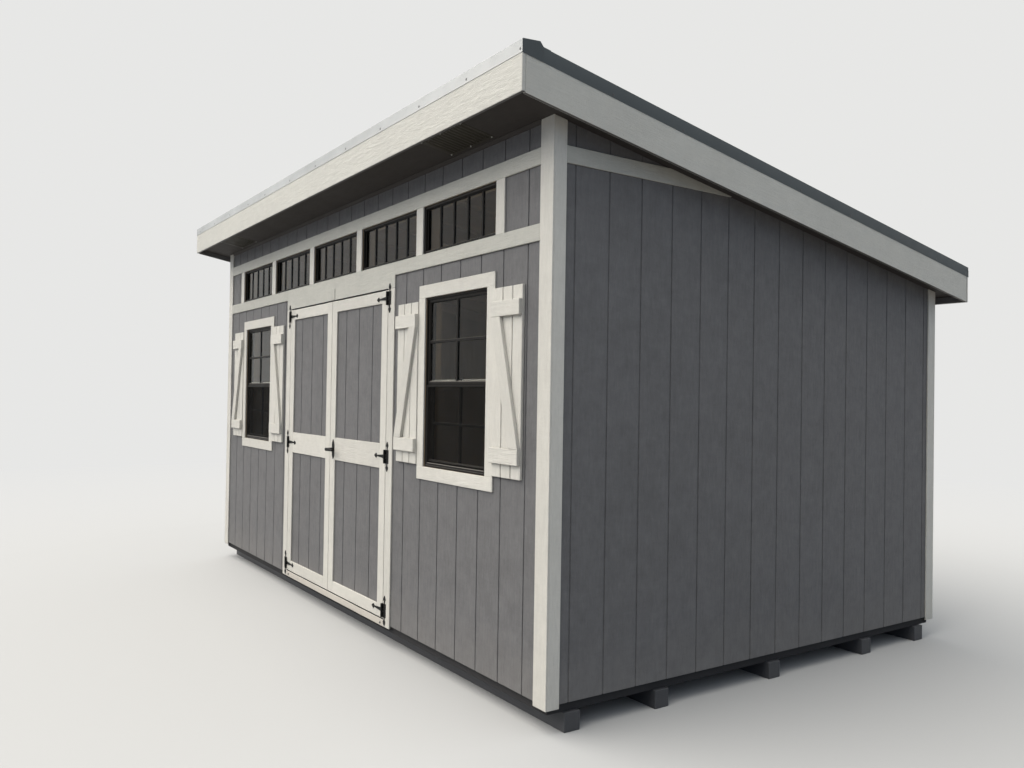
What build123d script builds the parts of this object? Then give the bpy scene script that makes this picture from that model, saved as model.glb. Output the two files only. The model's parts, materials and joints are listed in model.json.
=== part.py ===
"""Garden studio shed: timber body on skids, mono-pitch metal roof, double doors, transom lights.

Millimetres. +X runs right along the front, +Y runs to the back and +Z is up.
The origin is on the ground, in the middle of the body's footprint.
"""
from build123d import *
from math import sqrt
import os

# Body
body_length = 4959.0        # over the corner boards, along the front
body_depth = 3096.0         # over the corner boards, front to back
siding_t = 11.0
siding_drop = 45.0          # the siding hangs below the floor's boarding
stud_w = 89.0
trim_t = 9.5
corner_drop = 17.0          # the corner boards hang below the siding
corner_board_w = 98.0       # on the front and back, over the edge of the side board
side_board_w = 76.0

# Skids, floor frame and floor
skid_size = 89.0
skid_end_gap = 4.0
skid_inset = 84.0           # from the face of the rim to the outer skid
skid_inner_y = 838.0
joist_t = 38.0
joist_h = 89.0
joist_pitch = 406.0
floor_t = 19.0
rim_inset = 17.0            # the rim stands back from the face of the siding

# Roof
roof_fall = 542.0           # from the front boards to the back boards
soffit_t = 10.0
rafter_w = 38.0
rafter_h = 140.0
rafter_pitch = 488.0
roof_board_t = 11.0
overhang_front = 268.0
overhang_back = 150.0
overhang_rake = 131.0
fascia_t = 19.0
fascia_drop = 39.0          # how far the fascia hangs below the soffit
sheet_t = 1.5
rib_pitch = 229.0
rib_h = 21.0
rib_foot = 64.0
rib_crown = 26.0
metal_t = 2.0
metal_face = 65.0           # upright leg of the edge trims
flashing_lap = 150.0
rake_lap = 92.0

# Soffit vents
vent_l = 406.0
vent_w = 203.0
vent_from_side = 658.5      # from the body's side to the middle of the vent
vent_flange = 20.0
vent_t = 1.2
louvre_pitch = 30.0
louvre_slot_w = 9.0
louvre_h = 6.0

# Boards across the front
head_rise = 75.0            # from the doorway's head to the lower band
band_w = 78.0
transom_h = 268.0
soffit_rise = 126.0         # from the upper band to the soffit
transom_w = 748.0
mullion_w = 78.0
transom_count = 5
transom_offset = -12.0      # the middle of the row, from the middle of the front
end_mullion_w = 76.0
transom_frame_w = 16.0
transom_frame_depth = 36.0
frame_setback = 12.0        # window frames sit this far behind the face of the boards
glass_t = 5.0

# Doors
door_centre_x = 5.0
door_opening_w = 1676.0
door_opening_h = 1940.0     # from the floor to the head
meeting_offset = -25.0      # the leaves meet this far from the opening's middle
door_gap = 6.0
leaf_clearance = 8.0        # over the threshold board
jamb_board_w = 82.0
stile_w = 80.0
rail_w = 76.0
mid_rail_w = 150.0
mid_rail_rise = 967.0       # from the foot of the leaf to the middle of the rail
leaf_frame_t = 38.0
rebate_lap = 20.0
rebate_gap = 6.0
threshold_drop = 42.0       # the threshold's top lies below the floor
threshold_h = 40.0

# Windows
window_w = 640.0
window_h = 937.0
window_drop = 98.0          # bare siding between the lower band and the window's head board
window_side_board_w = 70.0
window_board_w = 71.0
window_frame_w = 12.0
window_frame_depth = 56.0
sash_w = 15.0
sash_t = 20.0
sash_gap = 2.0
meeting_rail_rise = 463.0   # from the sill to the middle of the meeting rails

# Shutters: they share each bay with the window, and the space left gives their width
left_bay_door_gap = 69.0
left_bay_corner_gap = 125.5
right_bay_door_gap = 65.0
right_bay_corner_gap = 119.5
shutter_boards = 3
shutter_board_gap = 6.0
shutter_board_t = 16.0
shutter_h = 912.0
shutter_sill_gap = 9.0
shutter_clearance = 1.0
batten_w = 75.0
batten_t = 19.0
batten_inset = 67.0
brace_w = 78.0

# Hinges
hinge_inset = 50.0          # from the ends of the leaf to the outer hinges
hinge_plate_h = 82.0
hinge_plate_w = 34.0
hinge_plate_t = 3.0
hinge_height = 180.0
knuckle_r = 7.0
knuckle_standoff = 1.0      # between the knuckles and the face of the boards
knuckle_side_gap = 1.5      # between the fixed plate and the moving knuckle
pin_r = 3.5
pin_clearance = 0.3
strap_reach = 150.0
strap_root_l = 14.0
strap_root_inset = 1.7      # the strap's root is this much narrower than its knuckle, each side
spear_neck_w = 9.0
spear_neck_lap = 4.0        # how far a spear's neck runs back over its plate
spear_head_w = 30.0
spear_head_l = 42.0
spear_flare_l = 15.0
spear_bow = 2.5             # how far the sides of the head bow outwards

# Door handle
handle_backset = 57.0       # from where the leaves meet
handle_drop = 4.0           # below the middle of the mid rail
handle_plate_w = 40.0
handle_plate_h = 134.0
handle_body_h = 50.0
handle_plate_bow = 5.0
spindle_r = 5.0
spindle_clearance = 2.0
hub_r = 11.0
lever_standout = 52.0
lever_reach = 112.0
lever_t = 14.0
lever_tip_r = 7.5
lever_edge_r = 4.0

# Levels worked out from the ground up
deck_z = skid_size + joist_h
floor_z = deck_z + floor_t
siding_bottom_z = deck_z - siding_drop
corner_bottom_z = siding_bottom_z - corner_drop
threshold_top_z = floor_z - threshold_drop
door_bottom_z = threshold_top_z + leaf_clearance
door_head_z = floor_z + door_opening_h
leaf_top_z = door_head_z - door_gap
mid_rail_z = door_bottom_z + mid_rail_rise
lower_band_z = door_head_z + head_rise
lower_band_top_z = lower_band_z + band_w
upper_band_z = lower_band_top_z + transom_h
upper_band_top_z = upper_band_z + band_w
soffit_front_z = upper_band_top_z + soffit_rise
window_top_z = lower_band_z - window_drop - window_board_w
window_sill_z = window_top_z - window_h
meeting_rail_z = window_sill_z + meeting_rail_rise
shutter_bottom_z = window_sill_z + shutter_sill_gap
hinge_z = (door_bottom_z + hinge_inset, mid_rail_z, leaf_top_z - hinge_inset)
handle_z = mid_rail_z - handle_drop

# Faces of the walls, each half measured from the middle of the body
front_y = -body_depth / 2
back_y = body_depth / 2
side_x = body_length / 2
siding_y = body_depth / 2 - trim_t
siding_x = body_length / 2 - trim_t
stud_y = siding_y - siding_t
stud_x = siding_x - siding_t
inner_y = stud_y - stud_w
inner_x = stud_x - stud_w
rim_y = siding_y - rim_inset
rim_x = siding_x - rim_inset
board_y = front_y + trim_t
window_face_y = front_y + frame_setback
skid_outer_y = rim_y - skid_inset - skid_size / 2

# Roof planes, as heights above the underside of the rafters, square to the slope
roof_slope = roof_fall / body_depth
slant = sqrt(1 + roof_slope**2)
seat_front_z = soffit_front_z + soffit_t * slant
eave_front_y = front_y - overhang_front
eave_back_y = back_y + overhang_back
rake_x = side_x + overhang_rake
fascia_front_inner_y = eave_front_y + fascia_t
fascia_back_inner_y = eave_back_y - fascia_t
fascia_rake_inner_x = rake_x - fascia_t
roof_board_top = rafter_h + roof_board_t
rib_top = roof_board_top + rib_h
rake_top = rib_top + metal_t
flashing_top = rake_top + metal_t
drip_bottom = flashing_top - metal_face

# Places along the front
transom_pitch = transom_w + mullion_w
transom_xs = [transom_offset + (i - (transom_count - 1) / 2) * transom_pitch
              for i in range(transom_count)]
door_left_x = door_centre_x - door_opening_w / 2
door_right_x = door_centre_x + door_opening_w / 2
door_boards_left_x = door_left_x - jamb_board_w
door_boards_right_x = door_right_x + jamb_board_w
meeting_x = door_centre_x + meeting_offset
left_leaf_x = (door_left_x + door_gap, meeting_x - door_gap / 2)
right_leaf_x = (meeting_x + door_gap / 2, door_right_x - door_gap)
handle_x = meeting_x + handle_backset
left_bay = (-side_x + corner_board_w + left_bay_corner_gap, door_boards_left_x - left_bay_door_gap)
right_bay = (door_boards_right_x + right_bay_door_gap, side_x - corner_board_w - right_bay_corner_gap)
window_centres = ((left_bay[0] + left_bay[1]) / 2, (right_bay[0] + right_bay[1]) / 2)
window_half = window_w / 2 + window_side_board_w
vent_xs = (vent_from_side - side_x, side_x - vent_from_side)
vent_y = (fascia_front_inner_y - siding_y) / 2

# Sections that fit other pieces
rebate_depth = siding_t + rebate_gap
frame_inset = rebate_lap + door_gap
hinge_y = front_y - knuckle_r - knuckle_standoff
left_hinge_x = door_left_x + door_gap / 2
right_hinge_x = door_right_x - door_gap / 2
knuckle_h = hinge_plate_h / 3
strap_root_h = knuckle_h - 2 * strap_root_inset
louvre_l = vent_w - 2 * vent_flange
louvre_count = int((vent_l - 2 * vent_flange) / louvre_pitch)


def roof_z(y, up=0.0):
    """Height at y of the plane that lies up mm above the rafters' underside, square to the slope."""
    return seat_front_z - roof_slope * (y - front_y) + up * slant


def span(a, b):
    """Two values in rising order."""
    return (min(a, b), max(a, b))


def block(x, y, z, mode=Mode.ADD):
    """A square-cut piece between two values along each axis."""
    with Locations(((x[0] + x[1]) / 2, (y[0] + y[1]) / 2, (z[0] + z[1]) / 2)):
        Box(x[1] - x[0], y[1] - y[0], z[1] - z[0], mode=mode)


def across(points, x, mode=Mode.ADD):
    """An outline in the side view (y, z), carried along the building between two values of x."""
    with BuildSketch(Plane.YZ.offset(x[0])) as outline:
        with BuildLine():
            Polyline(*points, close=True)
        make_face()
    extrude(outline.sketch, amount=x[1] - x[0], mode=mode)


def facing(points, y, mode=Mode.ADD):
    """An outline in the front view (x, z), carried from the plane y[1] forward to y[0]."""
    with BuildSketch(Plane.XZ.offset(-y[1])) as outline:
        with BuildLine():
            Polyline(*points, close=True)
        make_face()
    extrude(outline.sketch, amount=y[1] - y[0], mode=mode)


def on_boards(x, z, width_runs=(1, 0, 0)):
    """A drawing plane on the face of the front boards, turned by the way that widths run."""
    return Plane(origin=(x, front_y, z), x_dir=width_runs, z_dir=(0, -1, 0))


def under_roof(y, bottom_z, up=0.0):
    """A wall's side-view outline from a level bottom up to a plane parallel to the roof."""
    return [(y[0], bottom_z), (y[1], bottom_z), (y[1], roof_z(y[1], up)), (y[0], roof_z(y[0], up))]


def roof_layer(y, low, high):
    """A side-view outline between two planes parallel to the roof, with plumb ends."""
    return [(y[0], roof_z(y[0], low)), (y[1], roof_z(y[1], low)),
            (y[1], roof_z(y[1], high)), (y[0], roof_z(y[0], high))]


def ring(centre_x, z, width, bar, y):
    """A rectangular frame standing in the front wall."""
    block((centre_x - width / 2, centre_x + width / 2), y, z)
    block((centre_x - width / 2 + bar, centre_x + width / 2 - bar), y, (z[0] + bar, z[1] - bar),
          mode=Mode.SUBTRACT)


# Skids: five square runners under the floor
with BuildPart() as skids:
    for skid_y in (-skid_outer_y, -skid_inner_y, 0.0, skid_inner_y, skid_outer_y):
        block((-side_x + skid_end_gap, side_x - skid_end_gap),
              (skid_y - skid_size / 2, skid_y + skid_size / 2), (0, skid_size))

# Floor frame: long rims front and back, with end rims and joists between them
joist_z = (skid_size, deck_z)
joist_run = (-rim_y + joist_t, rim_y - joist_t)
with BuildPart() as floor_long_rims:
    block((-rim_x, rim_x), (-rim_y, -rim_y + joist_t), joist_z)
    block((-rim_x, rim_x), (rim_y - joist_t, rim_y), joist_z)

with BuildPart() as floor_end_rims:
    block((-rim_x, -rim_x + joist_t), joist_run, joist_z)
    block((rim_x - joist_t, rim_x), joist_run, joist_z)

joist_bays = round(2 * rim_x / joist_pitch)
joist_bay = (2 * rim_x - joist_t) / joist_bays
with BuildPart() as floor_joists:
    for i in range(1, joist_bays):
        joist_x = -rim_x + i * joist_bay
        block((joist_x, joist_x + joist_t), joist_run, joist_z)

# Floor: the boarding that the walls stand on
with BuildPart() as floor_deck:
    block((-rim_x, rim_x), (-rim_y, rim_y), (deck_z, floor_z))


def front_wall_part(x):
    """A stretch of front wall below the door head, its siding hanging over the rim."""
    block(x, (-siding_y, -stud_y), (siding_bottom_z, door_head_z))
    block(x, (-stud_y, -inner_y), (floor_z, door_head_z))


def door_rebate(x):
    """The step beside the doorway that the skin of a leaf closes into."""
    block(x, (-siding_y, -siding_y + rebate_depth), (siding_bottom_z, door_head_z), mode=Mode.SUBTRACT)


def window_hole(centre_x):
    """The opening for a window, right through the wall."""
    block((centre_x - window_w / 2, centre_x + window_w / 2), (-siding_y, -inner_y),
          (window_sill_z, window_top_z), mode=Mode.SUBTRACT)


# Front wall, beside the doorway
with BuildPart() as front_wall_left:
    front_wall_part((-stud_x, door_left_x + rebate_lap))
    door_rebate((door_left_x, door_left_x + rebate_lap))
    window_hole(window_centres[0])

with BuildPart() as front_wall_right:
    front_wall_part((door_right_x - rebate_lap, stud_x))
    door_rebate((door_right_x - rebate_lap, door_right_x))
    window_hole(window_centres[1])

# Front wall over the doorway, with the row of transom openings and the stop at the door head
with BuildPart() as front_wall_top:
    across(under_roof((-siding_y, -inner_y), door_head_z), (-stud_x, stud_x))
    block((door_left_x + rebate_lap, door_right_x - rebate_lap),
          (-siding_y + rebate_depth, -inner_y), (door_head_z - rebate_lap, door_head_z))
    for transom_x in transom_xs:
        block((transom_x - transom_w / 2, transom_x + transom_w / 2), (-siding_y, -inner_y),
              (lower_band_top_z, upper_band_z), mode=Mode.SUBTRACT)

# Back wall
with BuildPart() as back_wall:
    across(under_roof((stud_y, siding_y), siding_bottom_z), (-stud_x, stud_x))
    across(under_roof((inner_y, stud_y), floor_z), (-stud_x, stud_x))


def side_wall(siding, studs):
    """A sloping side wall: siding to the full depth, framing between the front and back walls."""
    across(under_roof((-siding_y, siding_y), siding_bottom_z), siding)
    across(under_roof((-inner_y, inner_y), floor_z), studs)


with BuildPart() as left_wall:
    side_wall((-siding_x, -stud_x), (-stud_x, -inner_x))

with BuildPart() as right_wall:
    side_wall((stud_x, siding_x), (inner_x, stud_x))

# Corner boards: one on each face of every corner, up to the soffit
with BuildPart() as front_back_corner_boards:
    for board in ((front_y, -siding_y), (siding_y, back_y)):
        across(under_roof(board, corner_bottom_z, -soffit_t), (-side_x, -side_x + corner_board_w))
        across(under_roof(board, corner_bottom_z, -soffit_t), (side_x - corner_board_w, side_x))

with BuildPart() as side_corner_boards:
    for board in ((-siding_y, front_y + side_board_w), (back_y - side_board_w, siding_y)):
        across(under_roof(board, corner_bottom_z, -soffit_t), (-side_x, -siding_x))
        across(under_roof(board, corner_bottom_z, -soffit_t), (siding_x, side_x))


def soffit_meets(z):
    """Depth at which the soffit comes down to a height."""
    return front_y + (roof_z(front_y, -soffit_t) - z) / roof_slope


# Upper band: across the front and round onto the sides, where the soffit cuts it to a point
with BuildPart() as upper_band:
    block((-side_x + corner_board_w, side_x - corner_board_w), (front_y, board_y),
          (upper_band_z, upper_band_top_z))
    side_start_y = front_y + side_board_w
    tapered = [(side_start_y, upper_band_z), (soffit_meets(upper_band_z), upper_band_z),
               (soffit_meets(upper_band_top_z), upper_band_top_z), (side_start_y, upper_band_top_z)]
    across(tapered, (-side_x, -siding_x))
    across(tapered, (siding_x, side_x))

# Lower band: from each corner to the door boards
with BuildPart() as lower_band:
    block((-side_x + corner_board_w, door_boards_left_x), (front_y, board_y),
          (lower_band_z, lower_band_top_z))
    block((door_boards_right_x, side_x - corner_board_w), (front_y, board_y),
          (lower_band_z, lower_band_top_z))

# Door head board, jamb boards and threshold board
with BuildPart() as door_head_board:
    block((door_boards_left_x, door_boards_right_x), (front_y, board_y),
          (door_head_z, lower_band_top_z))

with BuildPart() as door_jamb_boards:
    block((door_boards_left_x, door_left_x), (front_y, board_y), (corner_bottom_z, door_head_z))
    block((door_right_x, door_boards_right_x), (front_y, board_y), (corner_bottom_z, door_head_z))

with BuildPart() as door_threshold:
    block((door_left_x, door_right_x), (front_y, -rim_y),
          (threshold_top_z - threshold_h, threshold_top_z))

# Boards between and beside the transom lights
with BuildPart() as transom_boards:
    board_z = (lower_band_top_z, upper_band_z)
    for transom_x in transom_xs[:-1]:
        mullion_x = transom_x + transom_w / 2
        block((mullion_x, mullion_x + mullion_w), (front_y, board_y), board_z)
    row_x = (transom_xs[0] - transom_w / 2, transom_xs[-1] + transom_w / 2)
    block((row_x[0] - end_mullion_w, row_x[0]), (front_y, board_y), board_z)
    block((row_x[1], row_x[1] + end_mullion_w), (front_y, board_y), board_z)

# Transom lights: a frame and a pane in each opening
transom_back_y = window_face_y + transom_frame_depth
with BuildPart() as transom_frames:
    for transom_x in transom_xs:
        ring(transom_x, (lower_band_top_z, upper_band_z), transom_w, transom_frame_w,
             (window_face_y, transom_back_y))

transom_glass_y = (window_face_y + transom_back_y - glass_t) / 2
transom_glass_half = transom_w / 2 - transom_frame_w
with BuildPart() as transom_glass:
    for transom_x in transom_xs:
        block((transom_x - transom_glass_half, transom_x + transom_glass_half),
              (transom_glass_y, transom_glass_y + glass_t),
              (lower_band_top_z + transom_frame_w, upper_band_z - transom_frame_w))

# Windows: an outer frame, with the upper sash in front of the lower one
with BuildPart() as window_frames:
    for window_x in window_centres:
        ring(window_x, (window_sill_z, window_top_z), window_w, window_frame_w,
             (window_face_y, window_face_y + window_frame_depth))

sash_outer_w = window_w - 2 * window_frame_w
frame_middle_y = window_face_y + window_frame_depth / 2
upper_sash = (frame_middle_y - sash_gap / 2 - sash_t,
              (meeting_rail_z - sash_w / 2, window_top_z - window_frame_w))
lower_sash = (frame_middle_y + sash_gap / 2,
              (window_sill_z + window_frame_w, meeting_rail_z + sash_w / 2))
with BuildPart() as window_sashes:
    for window_x in window_centres:
        for sash_y, sash_z in (upper_sash, lower_sash):
            ring(window_x, sash_z, sash_outer_w, sash_w, (sash_y, sash_y + sash_t))

pane_half = sash_outer_w / 2 - sash_w
with BuildPart() as window_glass:
    for window_x in window_centres:
        for sash_y, sash_z in (upper_sash, lower_sash):
            pane_y = sash_y + (sash_t - glass_t) / 2
            block((window_x - pane_half, window_x + pane_half), (pane_y, pane_y + glass_t),
                  (sash_z[0] + sash_w, sash_z[1] - sash_w))

# Boards round each window: head and sill over the full width, side boards between them
with BuildPart() as window_head_sill_boards:
    for window_x in window_centres:
        board_x = (window_x - window_half, window_x + window_half)
        block(board_x, (front_y, board_y), (window_top_z, window_top_z + window_board_w))
        block(board_x, (front_y, board_y), (window_sill_z - window_board_w, window_sill_z))

with BuildPart() as window_side_boards:
    for window_x in window_centres:
        block((window_x - window_half, window_x - window_w / 2), (front_y, board_y),
              (window_sill_z, window_top_z))
        block((window_x + window_w / 2, window_x + window_half), (front_y, board_y),
              (window_sill_z, window_top_z))


def shutter(x, window_side):
    """Boards held by two battens and a brace that rises towards the window."""
    board_w = (x[1] - x[0] - (shutter_boards - 1) * shutter_board_gap) / shutter_boards
    face_y = -siding_y - shutter_board_t
    for i in range(shutter_boards):
        left = x[0] + i * (board_w + shutter_board_gap)
        block((left, left + board_w), (face_y, -siding_y), (shutter_bottom_z, shutter_bottom_z + shutter_h))
    batten_y = (face_y - batten_t, face_y)
    low_z = shutter_bottom_z + batten_inset + batten_w
    high_z = shutter_bottom_z + shutter_h - batten_inset - batten_w
    block(x, batten_y, (low_z - batten_w, low_z))
    block(x, batten_y, (high_z, high_z + batten_w))
    head_x, foot_x = (x[1], x[0]) if window_side > 0 else x
    lean = (x[1] - x[0] - brace_w) / (high_z - low_z)
    cut = window_side * brace_w * sqrt(1 + lean**2)
    facing([(head_x, high_z), (head_x - cut, high_z), (foot_x, low_z), (foot_x + cut, low_z)], batten_y)


def shutter_pair(bay, window_x):
    """The shutters on either side of one window, out to the ends of its bay."""
    shutter((bay[0], window_x - window_half - shutter_clearance), 1)
    shutter((window_x + window_half + shutter_clearance, bay[1]), -1)


with BuildPart() as left_window_shutters:
    shutter_pair(left_bay, window_centres[0])

with BuildPart() as right_window_shutters:
    shutter_pair(right_bay, window_centres[1])


def door_leaf(x, hinge_side):
    """The leaf's skin, flush with the siding, and its frame, which passes inside the rebate."""
    block(x, (-siding_y, -stud_y), (door_bottom_z, leaf_top_z))
    insets = (door_gap, frame_inset) if hinge_side > 0 else (frame_inset, door_gap)
    block((x[0] + insets[0], x[1] - insets[1]), (-stud_y, -stud_y + leaf_frame_t),
          (floor_z + door_gap, leaf_top_z - frame_inset))


def door_boards(x):
    """Stiles and rails round the leaf's two panels."""
    block(x, (front_y, board_y), (door_bottom_z, leaf_top_z))
    for panel_z in ((door_bottom_z + rail_w, mid_rail_z - mid_rail_w / 2),
                    (mid_rail_z + mid_rail_w / 2, leaf_top_z - rail_w)):
        block((x[0] + stile_w, x[1] - stile_w), (front_y, board_y), panel_z, mode=Mode.SUBTRACT)


with BuildPart() as left_door_leaf:
    door_leaf(left_leaf_x, -1)

with BuildPart() as left_door_boards:
    door_boards(left_leaf_x)

with BuildPart() as right_door_leaf:
    door_leaf(right_leaf_x, 1)
    with Locations(Location((handle_x, -stud_y, handle_z), (90, 0, 0))):
        Cylinder(spindle_r + spindle_clearance, 2 * leaf_frame_t, mode=Mode.SUBTRACT)

with BuildPart() as right_door_boards:
    door_boards(right_leaf_x)
    with Locations(Location((handle_x, board_y, handle_z), (90, 0, 0))):
        Cylinder(spindle_r + spindle_clearance, 2 * trim_t, mode=Mode.SUBTRACT)

# The way that a spear's width runs, for each way that it can point
spear_turns = {"up": (1, 0, 0), "down": (-1, 0, 0), "left": (0, 0, 1), "right": (0, 0, -1)}


def spear(x, z, length, points):
    """A flat neck that flares into a bowed, pointed head, laid on the face of the boards."""
    with BuildSketch(on_boards(x, z, spear_turns[points])) as outline:
        with BuildLine():
            neck = Line((spear_neck_w / 2, 0), (spear_neck_w / 2, length - spear_head_l))
            flare = TangentArc(neck @ 1, (spear_head_w / 2, length - spear_head_l + spear_flare_l),
                               tangent=neck % 1)
            SagittaArc(flare @ 1, (0, length), -spear_bow)
            mirror(about=Plane.YZ)
            Line((-spear_neck_w / 2, 0), (spear_neck_w / 2, 0))
        make_face()
    extrude(outline.sketch, amount=hinge_plate_t)


def knuckle(x, z):
    """One rolled knuckle of a hinge."""
    with Locations((x, hinge_y, (z[0] + z[1]) / 2)):
        Cylinder(knuckle_r, z[1] - z[0])


def jamb_plate(x, z, outward):
    """The fixed half of a hinge: plate, spear ends, outer knuckles and the pin."""
    near_x = x + outward * (knuckle_r + knuckle_side_gap)
    far_x = x + outward * (knuckle_r + hinge_plate_w)
    plate_y = (front_y - hinge_plate_t, front_y)
    block(span(near_x, far_x), plate_y, (z - hinge_plate_h / 2, z + hinge_plate_h / 2))
    for end in (-1, 1):
        knuckle_z = span(z + end * (knuckle_h / 2 + pin_clearance), z + end * hinge_plate_h / 2)
        block(span(x, near_x), plate_y, knuckle_z)
        knuckle(x, knuckle_z)
    with Locations((x, hinge_y, z)):
        Cylinder(pin_r, hinge_plate_h)
    spear_x = x + outward * (knuckle_r + hinge_plate_w / 2)
    spear_l = (hinge_height - hinge_plate_h) / 2 + spear_neck_lap
    spear(spear_x, z + hinge_plate_h / 2 - spear_neck_lap, spear_l, "up")
    spear(spear_x, z - hinge_plate_h / 2 + spear_neck_lap, spear_l, "down")


def strap(x, z, inward):
    """The moving half: a tapering strap on the leaf with the middle knuckle, bored for the pin."""
    root_x = x + inward * knuckle_r / 2
    taper_x = x + inward * strap_root_l
    neck_x = x + inward * (strap_reach - spear_head_l)
    facing([(root_x, z - strap_root_h / 2), (root_x, z + strap_root_h / 2),
            (taper_x, z + strap_root_h / 2), (neck_x, z + spear_neck_w / 2),
            (neck_x, z - spear_neck_w / 2), (taper_x, z - strap_root_h / 2)],
           (front_y - hinge_plate_t, front_y))
    spear(taper_x, z, strap_reach - strap_root_l, "right" if inward > 0 else "left")
    knuckle(x, (z - knuckle_h / 2, z + knuckle_h / 2))
    with Locations((x, hinge_y, z)):
        Cylinder(pin_r + pin_clearance, 2 * knuckle_h, mode=Mode.SUBTRACT)


with BuildPart() as hinge_jamb_plates:
    for height in hinge_z:
        jamb_plate(left_hinge_x, height, -1)
        jamb_plate(right_hinge_x, height, 1)

with BuildPart() as left_hinge_straps:
    for height in hinge_z:
        strap(left_hinge_x, height, 1)

with BuildPart() as right_hinge_straps:
    for height in hinge_z:
        strap(right_hinge_x, height, -1)

# Door handle: a plate with bowed, pointed ends and a tapering lever that turns down
with BuildPart() as handle_plate:
    with BuildSketch(on_boards(handle_x, handle_z)) as plate_outline:
        with BuildLine():
            plate_side = Line((handle_plate_w / 2, 0), (handle_plate_w / 2, handle_body_h / 2))
            SagittaArc(plate_side @ 1, (0, handle_plate_h / 2), -handle_plate_bow)
            mirror(about=Plane.YZ)
            mirror(about=Plane.XZ)
        make_face()
        Circle(spindle_r + pin_clearance, mode=Mode.SUBTRACT)
    extrude(plate_outline.sketch, amount=hinge_plate_t)

hub_start_y = front_y - hinge_plate_t - pin_clearance
lever_back_y = front_y - lever_standout + lever_t / 2
spindle_end_y = -stud_y + leaf_frame_t / 2
with BuildPart() as handle_lever:
    with BuildSketch(Plane(origin=(handle_x, lever_back_y, handle_z), x_dir=(1, 0, 0),
                           z_dir=(0, -1, 0))) as grip:
        Circle(hub_r)
        with Locations((lever_reach - lever_tip_r, 0)):
            Circle(lever_tip_r)
        make_hull()
    extrude(grip.sketch, amount=lever_t)
    fillet(handle_lever.faces().sort_by(Axis.Y)[0].edges(), radius=lever_edge_r)
    with Locations(Location((handle_x, (hub_start_y + lever_back_y) / 2, handle_z), (90, 0, 0))):
        Cylinder(hub_r, hub_start_y - lever_back_y)
    with Locations(Location((handle_x, (hub_start_y + spindle_end_y) / 2, handle_z), (90, 0, 0))):
        Cylinder(spindle_r, spindle_end_y - hub_start_y)


def vent_face(x):
    """A drawing plane on the underside of the front soffit at a vent, facing down."""
    return Plane(origin=(x, vent_y, roof_z(vent_y, -soffit_t)), x_dir=(1, 0, 0),
                 z_dir=(0, -roof_slope / slant, -1 / slant))


# Soffits: boards under the overhangs, in line with the rafters, the front one cut for its vents
with BuildPart() as eave_soffits:
    for board in ((fascia_front_inner_y, -siding_y), (siding_y, fascia_back_inner_y)):
        across(roof_layer(board, -soffit_t, 0.0), (-fascia_rake_inner_x, fascia_rake_inner_x))
    for vent_x in vent_xs:
        with BuildSketch(vent_face(vent_x)) as vent_hole:
            Rectangle(vent_l - 2 * vent_flange, louvre_l)
        extrude(vent_hole.sketch, amount=-2 * soffit_t, mode=Mode.SUBTRACT)

with BuildPart() as rake_soffits:
    side_layer = roof_layer((-siding_y, siding_y), -soffit_t, 0.0)
    across(side_layer, (-fascia_rake_inner_x, -siding_x))
    across(side_layer, (siding_x, fascia_rake_inner_x))

# Soffit vents: a flanged plate with a hooded slot for each louvre
with BuildPart() as soffit_vents:
    for vent_x in vent_xs:
        with BuildSketch(vent_face(vent_x)) as vent_plate:
            Rectangle(vent_l, vent_w)
            with GridLocations(louvre_pitch, louvre_l, louvre_count, 1):
                Rectangle(louvre_slot_w, louvre_l, mode=Mode.SUBTRACT)
        extrude(vent_plate.sketch, amount=vent_t)
        with BuildSketch(vent_face(vent_x)) as louvre_hoods:
            with GridLocations(louvre_pitch, louvre_l, louvre_count, 1):
                with Locations(((louvre_slot_w + vent_t) / 2, 0)):
                    Rectangle(vent_t, louvre_l)
        extrude(louvre_hoods.sketch, amount=louvre_h)

# Rafters: over the body at an even pitch, with one behind each rake fascia
with BuildPart() as rafters:
    rafter_outline = roof_layer((fascia_front_inner_y, fascia_back_inner_y), 0.0, rafter_h)
    wall_rafter_x = stud_x - rafter_w / 2
    rafter_bays = round(2 * wall_rafter_x / rafter_pitch)
    for i in range(rafter_bays + 1):
        rafter_x = -wall_rafter_x + i * 2 * wall_rafter_x / rafter_bays
        across(rafter_outline, (rafter_x - rafter_w / 2, rafter_x + rafter_w / 2))
    across(rafter_outline, (-fascia_rake_inner_x, -fascia_rake_inner_x + rafter_w))
    across(rafter_outline, (fascia_rake_inner_x - rafter_w, fascia_rake_inner_x))

# Fascias: plumb boards at the eaves, and boards along the rakes between them
with BuildPart() as eave_fascias:
    front_bottom_z = roof_z(eave_front_y, -soffit_t) - fascia_drop
    back_bottom_z = roof_z(eave_back_y, -soffit_t) - fascia_drop
    across(under_roof((eave_front_y, fascia_front_inner_y), front_bottom_z, rafter_h), (-rake_x, rake_x))
    across(under_roof((fascia_back_inner_y, eave_back_y), back_bottom_z, rafter_h), (-rake_x, rake_x))

with BuildPart() as rake_fascias:
    rake_outline = roof_layer((fascia_front_inner_y, fascia_back_inner_y),
                              -soffit_t - fascia_drop / slant, rafter_h)
    across(rake_outline, (-rake_x, -fascia_rake_inner_x))
    across(rake_outline, (fascia_rake_inner_x, rake_x))

# Roof boarding over the rafters and fascias
with BuildPart() as roof_boards:
    across(roof_layer((eave_front_y, eave_back_y), rafter_h, roof_board_top), (-rake_x, rake_x))

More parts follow.
